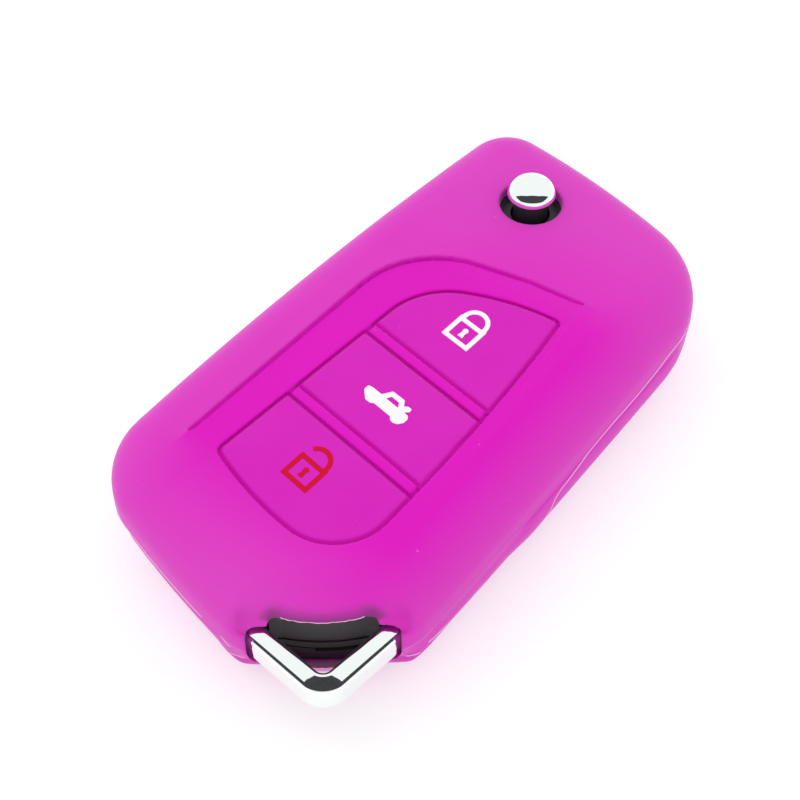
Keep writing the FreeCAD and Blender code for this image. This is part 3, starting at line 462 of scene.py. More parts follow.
COVER_CELL = 0.17 * MM
EASE_PASSES = 3
cover = soft_copy("silicone_cover", "soft_cover", COVER_CELL, EASE_PASSES)
print("cover rebuilt in", len(cover.data.vertices), "points")

# %% Points as arrays
def points_of(piece):
    """Points and normals of a mesh as two arrays, in millimetres."""
    count = len(piece.data.vertices)
    points = np.empty(count * 3)
    normals = np.empty(count * 3)
    piece.data.vertices.foreach_get("co", points)
    piece.data.vertex_normals.foreach_get("vector", normals)
    return points.reshape(-1, 3) / MM, normals.reshape(-1, 3)


def set_points(piece, points):
    """Moves the points of a mesh to new places, in millimetres."""
    piece.data.vertices.foreach_set("co", (points * MM).ravel())
    piece.data.update()


def step(values, low, high):
    """Smooth step from zero at low to one at high."""
    share = np.clip((values - low) / (high - low), 0, 1)
    return share * share * (3 - 2 * share)


print("cover is", np.ptp(points_of(cover)[0], axis=0).round(1), "mm in size")

# %% [markdown]
# ## Shape of the skin
# On the real skin the lower half of the mould is a hair smaller than the upper, so a small ledge runs round
# the side, and a soft ridge runs beside the pads on the thumb side. The ears beside the ring are worn round
# below and bent back, the lips above the ring's legs hug the metal, and a sill reaches out under it. A thin
# line is cut along the far edge of the sunk panel, and short ones close the strips between the pads. Most of
# these are small pushes on the points of the cover. The ears are eased before the pushes and the rim of the
# open corner after them, so that no push leaves a step.

# %% Rounder ears
EARS = np.array(((-38.4, -3.9, 0.3), (-26.5, -19.2, 0.3)))
EAR_REACH = 2.8
EAR_PASSES = 90


def ease_near(piece, nearness, passes):
    """Smooths a piece where nearness, given for each point, is above zero."""
    group = piece.vertex_groups.new(name="eased")
    near = np.flatnonzero(nearness > 0.05)
    for index in near:
        group.add([int(index)], float(nearness[index]), "REPLACE")
    ease = piece.modifiers.new("ease", "SMOOTH")
    ease.factor = 0.5
    ease.iterations = passes
    ease.vertex_group = group.name
    settle(piece)
    piece.vertex_groups.clear()
    print(piece.name, "eased at", len(near), "points")


def closeness(places, spots, reach):
    """One at the nearest of some spots, fading to nothing over about two reaches."""
    gaps = [np.linalg.norm(places - spot, axis=1) for spot in spots]
    return np.exp(-(np.min(gaps, axis=0) / reach) ** 2)


ease_near(cover, closeness(points_of(cover)[0], EARS, EAR_REACH), EAR_PASSES)

# %% Ledge round the side
LEDGE = (8.15, 8.45)
TUCK = 0.16
NEAR_TUCK = 0.45
NEAR_END = (-5, -1)
FLANK_SWELL = 0.36
FLANK = ((-12, -6), (22, 28))
FACING_OUT = (0.1, 0.5)
FACING_THUMB = (0.3, 0.7)
FACING_NEAR = (0.2, 0.7)


def band(values, rise, fall):
    """Smooth step up between the two values of rise, and down again between those of fall."""
    return step(values, *rise) * (1 - step(values, *fall))


points, normals = points_of(cover)
x, y, height = points.T
outward = points[:, :2] / np.linalg.norm(points[:, :2], axis=1)[:, None]
outer = step(np.sum(normals[:, :2] * outward, axis=1), *FACING_OUT)
flank = step(-normals[:, 1], *FACING_THUMB) * band(x, *FLANK)
near_end = step(-normals[:, 0], *FACING_NEAR) * step(y, *NEAR_END)
tuck = TUCK + NEAR_TUCK * near_end - FLANK_SWELL * flank
tuck = tuck * outer * (1 - step(height, *LEDGE))
points[:, :2] -= normals[:, :2] * tuck[:, None]
print("ledge is up to", round(float(tuck.max()), 2), "mm deep")

# %% Ridge and fine lines of the cover
TOP = (15.4, 15.8)
FACING_UP = (0.3, 0.6)
RIDGE_Y = -14.7
RIDGE_SLANT = 0.02
RIDGE_HALF = 0.9
RIDGE_RISE = 0.14
RIDGE_RUN = ((-26, -12), (6, 18))
PANEL_LINE = [(LINE_NEAR_X, 13.1), (4.57, 11.68), *bend_points(87, 8, 14), (16.75, -4.4),
              (17.38, LINE_THUMB_Y)]
LINE_CUT = (0.08, 0.3)
LINE_DEPTH = 0.35
STRIP_ENDS = [[(0.35, 6.5), (-1.35, 6.64)], [(-3.0, -12.23), (-4.85, -12.3)],
              [(-12.65, 7.64), (-14.35, 7.77)], [(-16.3, -12.43), (-18.05, -12.41)]]
STRIP_CUT = (0.15, 0.33)
STRIP_DEPTH = 0.45


def gap_to(path, places):
    """Distance in a plane from each place to a path of straight runs."""
    nearest = np.full(len(places), np.inf)
    for start, end in zip(np.array(path[:-1]), np.array(path[1:])):
        run = end - start
        share = np.clip((places - start) @ run / (run @ run), 0, 1)
        nearest = np.minimum(nearest, np.linalg.norm(places - start - share[:, None] * run, axis=1))
    return nearest


top = step(normals[:, 2], *FACING_UP) * step(height, *TOP)
ridge = np.exp(-((y - RIDGE_Y - RIDGE_SLANT * x) / RIDGE_HALF) ** 2) * band(x, *RIDGE_RUN)
points[:, 2] += top * ridge * RIDGE_RISE
points[:, 2] -= top * (1 - step(gap_to(PANEL_LINE, points[:, :2]), *LINE_CUT)) * LINE_DEPTH
for path in STRIP_ENDS:
    points[:, 2] -= top * (1 - step(gap_to(path, points[:, :2]), *STRIP_CUT)) * STRIP_DEPTH
print("cut", 1 + len(STRIP_ENDS), "fine lines")

# %% Where the ring loop stands
LOOP_CORNER = np.array((-41.25, -18.45))
LOOP_TURN = math.radians(7)
LEG_A = np.array((math.cos(LOOP_TURN), -math.sin(LOOP_TURN)))
LEG_B = np.array((math.sin(LOOP_TURN), math.cos(LOOP_TURN)))
LEGS = ((LEG_A, LEG_B), (LEG_B, LEG_A))
INWARD = (LEG_A + LEG_B) / math.sqrt(2)
SIDEWAYS = (LEG_A - LEG_B) / math.sqrt(2)


def from_corner(places, heading):
    """How far each place lies from the loop's corner along a heading in plan."""
    return (places[:, :2] - LOOP_CORNER) @ heading


def beside_leg(places, leg, side, spot, reach):
    """One at a spot given along and across a leg of the loop, nothing past its reach."""
    along, across = from_corner(places, leg), from_corner(places, side)
    return np.exp(-((along - spot[0]) / reach[0]) ** 4 - ((across - spot[1]) / reach[1]) ** 4)


print("loop points along", INWARD.round(3), "into the key")

# %% Lips, sill and ears round the loop
HUG_SPOT = (11.0, 1.1)
HUG_REACH = (1.7, 2.2)
HUG_HEIGHTS = ((10.9, 12.4), (13.6, 15.6))
HUG_DROP = 1.8
HUG_SHIFT = 1.0
SILL_HALF = 6
SILL_HEIGHTS = ((0.5, 3), (5, 6))
SILL_BACK = (9, 10.4)
SILL_REACH = 1.0
EAR_EDGES = np.array(((-40.2, -6.3, 5.0), (-29.8, -20.3, 5.3)))
EAR_EDGE_REACH = 2.2
EAR_PULL = 1.0
FACING_RING = (-0.2, 0.4)
RIM_SPOT = (12, 1)
RIM_REACH = (4, 3.4)
RIM_HEIGHTS = ((2, 3.5), (12.5, 13.5))
RIM_PASSES = 16

for leg, side in LEGS:
    hug = beside_leg(points, leg, side, HUG_SPOT, HUG_REACH) * band(height, *HUG_HEIGHTS)
    points[:, 2] -= hug * HUG_DROP
    points[:, :2] += hug[:, None] * HUG_SHIFT * INWARD
sill = band(height, *SILL_HEIGHTS) * np.exp(-(from_corner(points, SIDEWAYS) / SILL_HALF) ** 8)
sill = sill * (1 - step(from_corner(points, INWARD), *SILL_BACK))
points[:, :2] -= sill[:, None] * SILL_REACH * INWARD
pull = closeness(points, EAR_EDGES, EAR_EDGE_REACH)
pull = pull * step(-np.sum(normals[:, :2] * INWARD, axis=1), *FACING_RING)
points[:, :2] += pull[:, None] * EAR_PULL * INWARD
set_points(cover, points)
rim = np.max([beside_leg(points, leg, side, RIM_SPOT, RIM_REACH) for leg, side in LEGS], axis=0)
ease_near(cover, rim * band(height, *RIM_HEIGHTS), RIM_PASSES)

# %% Finished cover
COVER_TRIANGLES = 190000


def triangles(piece):
    """Number of triangles that the faces of a piece make."""
    return sum(len(face.vertices) - 2 for face in piece.data.polygons)


def thin_out(piece, most):
    """Takes away cells where the surface is plain until at most that many triangles are left."""
    before = triangles(piece)
    thin = piece.modifiers.new("thin", "DECIMATE")
    thin.ratio = min(1.0, most / before)
    settle(piece)
    piece.data.shade_smooth()
    print(piece.name, before, "triangles thinned to", triangles(piece))


def dress(piece, body, finish, slot, *nodes):
    """Gives a piece its finish and the body that it rides on, and hides the CAD nodes that it stands for."""
    piece.data.materials.clear()
    piece.data.materials.append(finish.material)
    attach(piece, body)
    if nodes:
        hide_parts(*nodes)


thin_out(cover, COVER_TRIANGLES)
dress(cover, "fob", silicone, "silicone", "silicone_cover")

# %% [markdown]
# ## Thin skin and painted floor light
# The finish asks each point how thin the skin is there and how much painted floor light it takes. The lip
# over the ring corner gets thinner towards its edge, so the distance of a point from that edge gives its
# thinness. The sill under the loop and the sleeves that face its leg ends are lit from the floor, and that
# light is painted on them as a paler tint.

# %% Thinness of the lip
LIP_HALF = 5.9
LIP_MIDDLE = 13.4
LIP_RISE = 0.9
LIP_FADE = 1.6
LIP_FOOT = (12.2, 12.8)
LIP_BACK = (13, 15)
LIP_THINNESS = 0.7
MOUTH_HALF = 4.4
MOUTH_SIDE = ((5.8, 12.2), (5.6, 12.9), (5.1, 13.7))


def lip_height(along):
    """Height of the lip's edge over the ring corner, which sags in the middle."""
    return LIP_MIDDLE + LIP_RISE * np.minimum((along / LIP_HALF) ** 2, 1)


def store(name, values):
    """Keeps one value for each point of the cover, for its finish to read."""
    cover.data.attributes.new(name, "FLOAT", "POINT").data.foreach_set("value", values)


points, normals = points_of(cover)
height = points[:, 2]
along, depth = from_corner(points, SIDEWAYS), from_corner(points, INWARD)
mouth_edge = [(place, lip_height(place)) for place in np.linspace(-MOUTH_HALF, MOUTH_HALF, 12)]
mouth_edge = [*((-place, rise) for place, rise in MOUTH_SIDE), *mouth_edge, *reversed(MOUTH_SIDE)]
lip = 1 - step(gap_to(mouth_edge, np.column_stack((along, height))), 0.0, LIP_FADE)
lip = lip * (1 - step(depth, *LIP_BACK)) * step(height, *LIP_FOOT)
store("thin", lip * LIP_THINNESS)
print("thin share", round(float(lip.mean()), 3))

# %% Painted floor light on the sill and the sleeves
LIT_SILL_HEIGHTS = ((2.5, 3.5), (5, 6))
LIT_SILL_HALF = (5, 6)
LEG_END_SPOT = (13, 1.1)
FACING_LEG_END = (0.2, 0.6)
SLEEVE_SPOT = (14, 1)
SLEEVE_REACH = (2.4, 2.4)
SLEEVE_HEIGHTS = ((4.5, 6), (11.5, 12.6))
PAINTED_FLOOR_LIGHT_SHARE = 0.5

# Painted floor light on the sill under the loop and on the sleeves facing its leg ends.
pale = band(height, *LIT_SILL_HEIGHTS) * (1 - step(np.abs(along), *LIT_SILL_HALF))
pale = pale * (1 - step(depth, *SILL_BACK))
for leg, side in LEGS:
    leg_end = LOOP_CORNER + leg * LEG_END_SPOT[0] + side * LEG_END_SPOT[1]
    towards = leg_end - points[:, :2]
    facing = np.sum(normals[:, :2] * towards, axis=1) / np.linalg.norm(towards, axis=1)
    sleeve = beside_leg(points, leg, side, SLEEVE_SPOT, SLEEVE_REACH) * step(facing, *FACING_LEG_END)
    pale = np.maximum(pale, sleeve * band(height, *SLEEVE_HEIGHTS))
store("pale", pale * PAINTED_FLOOR_LIGHT_SHARE)
print("pale share", round(float(pale.mean()), 3))

# %% [markdown]
# ## Pads
# Each pad is an island of the same skin, flush with it. It is rebuilt in finer cells than the cover, because
# the rounded edge along its groove is what the eye finds first. Its sunk floor is grown a little, so that it
# meets the wall of the window and closes the groove.

# %% Three soft pads
PAD_CELL = 0.14 * MM
PAD_TRIANGLES = 60000
FLOOR_BELOW = (-0.36, -0.2)
FLOOR_GROW = 0.12
pads = {}
for name in ("lock", "trunk", "unlock"):
    pad = soft_copy(name + "_pad", name + "_soft_pad", PAD_CELL, EASE_PASSES)
    points, normals = points_of(pad)
    level = np.minimum(PANEL_HIGH, panel_slope(points[:, 0], points[:, 1]))
    sunk = 1 - step(points[:, 2] - level, *FLOOR_BELOW)
    points[:, :2] += normals[:, :2] * sunk[:, None] * FLOOR_GROW
    set_points(pad, points)
    thin_out(pad, PAD_TRIANGLES)
    dress(pad, name + "_button", pad_silicone, "silicone", name + "_pad")
    pads[name] = pad

# %% [markdown]
# ## Printed signs
# The pads carry printed signs: a closed padlock, a car with its boot open and an open padlock. A sign is
# flat ink, so its outline is drawn as a few corners and arcs, its corners are rounded by a vertex bevel,
# and one fill closes the shape with its holes. It is then laid on the pad, a hair above the rubber.

# %% Ink
FILM_SIZE = 0.35 * MM
FILM_DEPTH = 0.006 * MM
WORN_SIZE = 0.9 * MM
WORN_LEVEL = (0.62, 0.8)
WORN_SHARE = 0.25


def ink_finish(name, colour, under):
    ink = Finish(name, IOR=1.45, Specular_IOR_Level=0.15)
    film = ink.noise(FILM_SIZE)
    worn = ink.ramp(ink.noise(WORN_SIZE), *WORN_LEVEL)
    return ink.wire(
        Base_Color=ink.mix(worn * WORN_SHARE, colour, under),
        Roughness=0.42 + film * 0.15,
        Normal=ink.bump(film, FILM_DEPTH),
    )


white_ink = ink_finish("white_ink", rgb(252, 250, 252), rgb(246, 226, 244))
red_ink = ink_finish("red_ink", rgb(208, 0, 44), rgb(216, 24, 56))
print("two inks mixed")

# %% Outlines of the signs
INK_RISE = 0.03 * MM
SIGN_TURN = math.radians(-10.1)
SIGN_LEAN = -0.12


def arc(centre, radius, start, end, steps=14):
    """Points along an arc, angles in degrees."""
    angles = [math.radians(start + (end - start) * index / steps) for index in range(steps + 1)]
    return [(centre[0] + radius * math.cos(a), centre[1] + radius * math.sin(a)) for a in angles]


BODY_HALF = 2.1
BODY_TALL = 3.7
STROKE = 0.62
BOW_CENTRE = (0, 3.95)
BOW_RADIUS = 1.95
BOW_INNER = BOW_RADIUS - STROKE
KEYHOLE = arc((0, 2.2), 0.38, -40, 220, 10) + [(-0.28, 1.6), (-0.42, 1.1), (0.42, 1.1), (0.28, 1.6)]
BODY_HOLE = [(-BODY_HALF + STROKE, STROKE), (BODY_HALF - STROKE, STROKE),
             (BODY_HALF - STROKE, BODY_TALL - STROKE), (-BODY_HALF + STROKE, BODY_TALL - STROKE)]
BODY_FOOT = [(-BODY_HALF, BODY_TALL), (-BODY_HALF, 0), (BODY_HALF, 0), (BODY_HALF, BODY_TALL)]
signs = {
    "lock": [BODY_FOOT + arc(BOW_CENTRE, BOW_RADIUS, 0, 180), BODY_HOLE, KEYHOLE,
             [(BOW_INNER, BODY_TALL)] + arc(BOW_CENTRE, BOW_INNER, 0, 180) + [(-BOW_INNER, BODY_TALL)]],
    "unlock": [BODY_FOOT + arc(BOW_CENTRE, BOW_RADIUS, 0, 150) + arc(BOW_CENTRE, BOW_INNER, 150, 0)
               + [(BOW_INNER, BODY_TALL)], BODY_HOLE, KEYHOLE],
    "trunk": [[(-3.2, 0.3), (-3.15, 1.0), (-2.6, 1.15), (-1.1, 1.15), (-0.35, 2.4), (1.55, 2.45), (2.1, 1.75),
               (2.5, 2.1), (3.05, 2.1), (3.15, 1.65), (2.65, 1.15), (3.35, 1.1), (3.65, 0.75), (3.65, 0.05),
               (3.2, -0.6), (2.6, -0.85), (2.05, -0.7), (1.85, -0.4), (-0.9, -0.38), (-1.3, -0.68),
               (-2.05, -0.7), (-2.6, -0.25)],
              [(-0.3, 1.1), (0.05, 1.75), (1.3, 1.75), (1.7, 1.1)]],
}
SIGN_PLACES = {"lock": (3.3, -2.8), "trunk": (-9.6, -2.0), "unlock": (-24.3, -0.95)}
SIGN_ROUND = 0.12
SHARP_TURN = math.radians(35)
print("signs have", {name: sum(len(line) for line in lines) for name, lines in signs.items()}, "corners")

# %% Lay the signs on the pads
LONG_EDGE = 1
RAY_START = 100 * MM


def keep_mesh(name, shape):
    """Object in the scene from a finished bmesh."""
    mesh = bpy.data.meshes.new(name)
    shape.to_mesh(mesh)
    shape.free()
    piece = bpy.data.objects.new(name, mesh)
    scene.collection.objects.link(piece)
    return piece


def flat_sign(name, outlines):
    """Filled flat mesh from outlines and holes, in millimetres, with rounded corners."""
    sheet = bmesh.new()
    for outline in outlines:
        corners = [sheet.verts.new((x, y, 0)) for x, y in outline]
        sheet.faces.new(corners)
    sharp = [vert for vert in sheet.verts if vert.calc_edge_angle() > SHARP_TURN]
    bmesh.ops.bevel(sheet, geom=sharp, offset=SIGN_ROUND, affect="VERTICES", segments=3,
                    profile=0.5, material=-1, clamp_overlap=True)
    bmesh.ops.delete(sheet, geom=sheet.faces[:], context="FACES_ONLY")
    bmesh.ops.triangle_fill(sheet, use_beauty=True, use_dissolve=False, edges=sheet.edges[:])
    bmesh.ops.recalc_face_normals(sheet, faces=sheet.faces[:])
    bmesh.ops.subdivide_edges(sheet, edges=[e for e in sheet.edges if e.calc_length() > LONG_EDGE], cuts=1)
    return sheet


def place_sign(sheet, pad, at):
    """Turns a sign to its place and drops it on its pad, then gives the ink its thickness."""
    lean = Matrix(((1, SIGN_LEAN, 0), (0, 1, 0), (0, 0, 1))).to_4x4()
    turn = Matrix.Rotation(SIGN_TURN - math.pi / 2, 4, "Z")
    bmesh.ops.transform(sheet, matrix=turn @ lean, verts=sheet.verts[:])
    bmesh.ops.translate(sheet, vec=(at[0], at[1], 0), verts=sheet.verts[:])
    bmesh.ops.scale(sheet, vec=(MM, MM, MM), verts=sheet.verts[:])
    rubber = BVHTree.FromObject(pad, bpy.context.evaluated_depsgraph_get())
    for vertex in sheet.verts:
        hit = rubber.ray_cast(Vector((vertex.co.x, vertex.co.y, RAY_START)), Vector((0, 0, -1)))
        vertex.co.z = hit[0].z + INK_RISE
    bmesh.ops.recalc_face_normals(sheet, faces=sheet.faces[:])
    if sheet.faces[:][0].normal.z < 0:
        bmesh.ops.reverse_faces(sheet, faces=sheet.faces[:])
    grown = bmesh.ops.extrude_face_region(sheet, geom=sheet.faces[:], use_keep_orig=True)
    lower = [item for item in grown["geom"] if isinstance(item, bmesh.types.BMVert)]
    bmesh.ops.translate(sheet, vec=(0, 0, -2 * INK_RISE), verts=lower)
    bmesh.ops.recalc_face_normals(sheet, faces=sheet.faces[:])


for name, outlines in signs.items():
    sheet = flat_sign(name, outlines)
    place_sign(sheet, pads[name], SIGN_PLACES[name])
    sign = keep_mesh(name + "_sign", sheet)
    dress(sign, name + "_button", red_ink if name == "unlock" else white_ink, "silicone")
    print(sign.name, len(sign.data.polygons), "faces")

# %% [markdown]
# ## Parting line
# Where the two halves of the mould met, a thread of thin rubber stands out: along the thumb side, where it
# jogs down before the ring corner, along the near end, across both ears and on the lip over the ring. Its
# pale colour is a painted highlight along the thread. It is finer than the cover's cells, so it is a bead of
# its own, whose path is found by rays shot at the cover from outside.

# %% Flash beads along the sides
BEAD_RADIUS = 0.085 * MM
AWAY = 40
THUMB_ENDS = (28, -26.5)
NEAR_ENDS = (16.5, -5)
THUMB_LINE = np.array(((-27, 6.3), (-22, 5.2), (-16, 4.8), (-6, 4.6), (-4.5, 5.0), (-3.3, 5.6), (-2.9, 7.0),
                       (-1.6, 7.8), (1.5, 8.2), (5.6, 8.5), (9.7, 8.7), (15.2, 8.6), (19.5, 8.9), (22.4, 9.5),
                       (28, 9.8)))
NEAR_LINE = np.array(((-5.2, 7.4), (-3, 8.0), (-0.5, 8.4), (6.5, 8.5), (16.5, 8.55)))


def bead(name, starts, heading, radius=BEAD_RADIUS):
    """Thread of rubber where rays from the starts, in millimetres, meet the cover."""
    skin = BVHTree.FromObject(cover, bpy.context.evaluated_depsgraph_get())
    hits = [skin.ray_cast(Vector(start) * MM, Vector(heading))[0] for start in starts]
    line = bpy.data.curves.new(name, "CURVE")
    line.dimensions = "3D"
    line.bevel_depth = radius
    line.bevel_resolution = 2
    line.use_fill_caps = True
    spline = line.splines.new("NURBS")
    spline.points.add(len(hits) - 1)
    for point, hit in zip(spline.points, hits):
        point.co = (*hit, 1)
    spline.order_u = 4
    spline.use_endpoint_u = True
    thread = bpy.data.objects.new(name, line)
    scene.collection.objects.link(thread)
    graph = bpy.context.evaluated_depsgraph_get()
    piece = bpy.data.objects.new(name, bpy.data.meshes.new_from_object(thread.evaluated_get(graph)))
    bpy.data.objects.remove(thread)
    scene.collection.objects.link(piece)
    # The bead's pale colour is a painted highlight.
    dress(piece, "fob", flash_highlight_silicone, "silicone")
    print(name, len(piece.data.polygons), "faces")


thumb_x = np.linspace(*THUMB_ENDS, 120)
thumb_z = np.interp(thumb_x, THUMB_LINE[:, 0], THUMB_LINE[:, 1])
bead("thumb_flash", [(x, -AWAY, z) for x, z in zip(thumb_x, thumb_z)], (0, 1, 0))
near_y = np.linspace(*NEAR_ENDS, 60)
near_z = np.interp(near_y, NEAR_LINE[:, 0], NEAR_LINE[:, 1])
bead("near_flash", [(-2 * AWAY, y, z) for y, z in zip(near_y, near_z)], (1, 0, 0))

# %% Flash beads at the ring
EAR_LINE_HEIGHT = 4.9
EAR_LINE_ENDS = (10.4, 8.8)
LIP_BEAD_RADIUS = 0.05 * MM
LIP_BEAD_RISE = 0.12

for side, name in ((-1, "left_ear_flash"), (1, "right_ear_flash")):
    ear_along = side * np.linspace(*EAR_LINE_ENDS, 8)
    ear_feet = LOOP_CORNER - INWARD * AWAY + ear_along[:, None] * SIDEWAYS
    bead(name, [(*foot, EAR_LINE_HEIGHT) for foot in ear_feet], (*INWARD, 0))
lip_along = np.linspace(-MOUTH_HALF, MOUTH_HALF, 40)
lip_feet = LOOP_CORNER - INWARD * AWAY + lip_along[:, None] * SIDEWAYS
lip_starts = [(*foot, rise + LIP_BEAD_RISE) for foot, rise in zip(lip_feet, lip_height(lip_along))]
bead("lip_flash", lip_starts, (*INWARD, 0), LIP_BEAD_RADIUS)

# %% [markdown]
# ## Ring loop
# The chrome loop is a casting whose top falls a little to the outside, so that it catches the light as a
# white band with a black line beside it and a dark corner. One rounded section is drawn as four corners
# with a vertex bevel each, run along one leg, spun round the corner and run along the other leg. The feet
# that hold it in the casing are pulled out of the inner side of the leg ends.

# %% Swept bar of the ring loop
LEG = 14.2
BAR = 2.3
TURN_RADIUS = 3.35
SECTION = (((0, 6.6), 0.7), ((BAR, 6.6), 0.6), ((BAR, 10.8), 0.75), ((0, 10.14), 0.5))


def far_ring(grown):
    """Edges at the far end of what an extrusion or spin made, with their points."""
    points = {item for item in grown if isinstance(item, bmesh.types.BMVert)}
    edges = [item for item in grown if isinstance(item, bmesh.types.BMEdge) and points.issuperset(item.verts)]
    return edges, list(points)


def run(shape, ring, move):
    """Carries the open end of a sweep straight on."""
    ring, points = far_ring(bmesh.ops.extrude_edge_only(shape, edges=ring)["geom"])
    bmesh.ops.translate(shape, vec=move, verts=points)
    return ring


shape = bmesh.new()
corners = [shape.verts.new((LEG, across, height)) for (across, height), radius in SECTION]
shape.faces.new(corners)
for corner, (place, radius) in zip(corners, SECTION):
    bmesh.ops.bevel(shape, geom=[corner], offset=radius, affect="VERTICES", segments=12,
                    profile=0.5, material=-1)
bmesh.ops.delete(shape, geom=shape.faces[:], context="FACES_ONLY")
first = shape.edges[:]
ring = run(shape, first, (-BAR, 0, 0))
ring = run(shape, ring, (TURN_RADIUS + BAR - LEG, 0, 0))
spun = bmesh.ops.spin(shape, geom=ring, cent=(TURN_RADIUS, TURN_RADIUS, 0), axis=(0, 0, 1), dvec=(0, 0, 0),
                      angle=-math.pi / 2, steps=24, use_duplicate=False, use_merge=False)
ring = far_ring(spun["geom_last"])[0]
ring = run(shape, ring, (0, LEG - BAR - TURN_RADIUS, 0))
ring = run(shape, ring, (0, BAR, 0))
print("bar is swept in", len(shape.faces), "faces")

# %% Ends and feet of the ring loop
END_ROUND = 0.35
END_TILTS = np.radians((0, 20, 40, 60, 75, 90))
FOOT_REACH = 3.7
FOOT_FACING = 0.98


def round_end(shape, ring, heading):
    """Closes the open end of a sweep with a rounded cap."""
    for before, turn in zip(END_TILTS[:-1], END_TILTS[1:]):
        ring, points = far_ring(bmesh.ops.extrude_edge_only(shape, edges=ring)["geom"])
        slide = END_ROUND * (math.sin(turn) - math.sin(before))
        bmesh.ops.translate(shape, vec=heading * slide, verts=points)
        middle = sum((point.co for point in points), Vector()) / len(points)
        shrink = (BAR / 2 - END_ROUND * (1 - math.cos(turn))) / (BAR / 2 - END_ROUND * (1 - math.cos(before)))
        bmesh.ops.scale(shape, vec=(shrink, shrink, shrink), space=Matrix.Translation(-middle), verts=points)
    bmesh.ops.contextual_create(shape, geom=ring)


def pull_foot(shape, side, along):
    """Pulls the inner side of a leg's end inwards as a foot."""
    faces = []
    for face in shape.faces:
        if face.normal.dot(side) > FOOT_FACING and face.calc_center_median().dot(along) > LEG - BAR:
            faces.append(face)
    grown = bmesh.ops.extrude_face_region(shape, geom=faces)["geom"]
    tips = [item for item in grown if isinstance(item, bmesh.types.BMVert)]
    bmesh.ops.translate(shape, vec=side * FOOT_REACH, verts=tips)


round_end(shape, ring, Vector((0, 1, 0)))
round_end(shape, first, Vector((1, 0, 0)))
bmesh.ops.recalc_face_normals(shape, faces=shape.faces[:])
pull_foot(shape, Vector((0, 1, 0)), Vector((1, 0, 0)))
pull_foot(shape, Vector((1, 0, 0)), Vector((0, 1, 0)))
loop_place = Matrix.Translation((*LOOP_CORNER, 0)) @ Matrix.Rotation(-LOOP_TURN, 4, "Z")
bmesh.ops.transform(shape, matrix=Matrix.Scale(MM, 4) @ loop_place, verts=shape.verts[:])
ring_loop = keep_mesh("ring_loop", shape)
print("ring loop stands at", LOOP_CORNER, "mm")

# %% Polished ring loop
def polish(piece):
    """Shades a piece smoothly, with its flat sides kept flat."""
    piece.data.shade_smooth()
    even = piece.modifiers.new("even", "WEIGHTED_NORMAL")
    even.weight = 100
    settle(piece)


polish(ring_loop)
dress(ring_loop, "fob", finishes["chrome"], "chrome", "key_ring_loop")
print("ring loop", len(ring_loop.data.polygons), "faces")

# %% [markdown]
# ## Release cap
# The release button wears a chrome cap, pressed from sheet: a shallow dome whose edge rolls over into a short
# flank that stops short of upright. Half its outline is drawn beside the axis, and one full spin closes the
# shape, hollow for its stem.

# %% Spun release cap
CAP_PLACE = (28.208, 3.2528, 0)
CAP_HIGH = 20.2
CAP_RADIUS = 3.05
DOME_RADIUS = 4.2
DOME_TILTS = (0, 33)
EDGE_RADIUS = 2.0
EDGE_TILTS = (33, 68)
FLANK_RADIUS = 2.5
FLANK_TILTS = (68, 80)
SOCKET_RADIUS = 2.25
SOCKET_HIGH = 19.1


def bow(radius, tilts, start):
    """Points of an outline that bends from one tilt to another, in degrees, from a start."""
    angles = np.radians(np.linspace(*tilts, 14))
    across = start[0] + radius * (np.sin(angles) - math.sin(angles[0]))
    heights = start[1] + radius * (np.cos(angles) - math.cos(angles[0]))
    return list(zip(across, heights))


dome = bow(DOME_RADIUS, DOME_TILTS, (0, CAP_HIGH))
edge = bow(EDGE_RADIUS, EDGE_TILTS, dome[-1])
rim = dome[:-1] + edge[:-1] + bow(FLANK_RADIUS, FLANK_TILTS, edge[-1])
rim = [(radius * CAP_RADIUS / rim[-1][0], height) for radius, height in rim]
shape = bmesh.new()
outline = [*rim, (SOCKET_RADIUS, rim[-1][1]), (SOCKET_RADIUS, SOCKET_HIGH), (0, SOCKET_HIGH)]
profile = [shape.verts.new((radius, 0, height)) for radius, height in outline]
for pair in zip(profile[:-1], profile[1:]):
    shape.edges.new(pair)
bmesh.ops.spin(shape, geom=shape.edges[:], cent=(0, 0, 0), axis=(0, 0, 1), dvec=(0, 0, 0), angle=2 * math.pi,
               steps=96, use_merge=True, use_duplicate=False)
bmesh.ops.remove_doubles(shape, verts=shape.verts[:], dist=0.001)
bmesh.ops.recalc_face_normals(shape, faces=shape.faces[:])
bmesh.ops.transform(shape, matrix=Matrix.Scale(MM, 4) @ Matrix.Translation(CAP_PLACE), verts=shape.verts[:])
cap = keep_mesh("chrome_cap", shape)
polish(cap)
dress(cap, "release_button", finishes["chrome"], "chrome", "release_cap")
print("chrome cap", len(cap.data.polygons), "faces")

# %% [markdown]
# ## Spring under the button
# The coil is wound from steel wire. As the button goes down its turns close up, which a rigid piece can't do.
# Here a joined copy of it is made, shaded smoothly and set on the blade arm in place of the CAD spring.

# %% Joined copy of the coil
coil = merged_copy("flip_spring", "coil_spring")
coil.data.shade_smooth()
dress(coil, "blade_arm", finishes["steel"], "steel", "flip_spring")
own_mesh(coil)

# %% [markdown]
# ## Stage and light
# The photograph is a white table-top shot in a light tent: white all round, one soft lamp above and behind,
# and a dark gap on the camera's side, which only the chrome shows. The floor is white paper that the camera
# and the chrome see a little brighter than it is lit, so that it runs out to white and keeps the shadow.

# %% Floor
FLOOR_HALF = 1.5
FLOOR_SEEN = 0.62
FLOOR_GLOW = 0.5
FLOOR_LIT = 0.97
FLOOR_MOTTLE = 0.01
FLOOR_MOTTLE_SIZE = 60 * MM


def stage_piece(name, shape, finish):
    """Object outside the model that carries a finish."""
    piece = keep_mesh(name, shape)
    piece.data.materials.append(finish.material)
    return piece


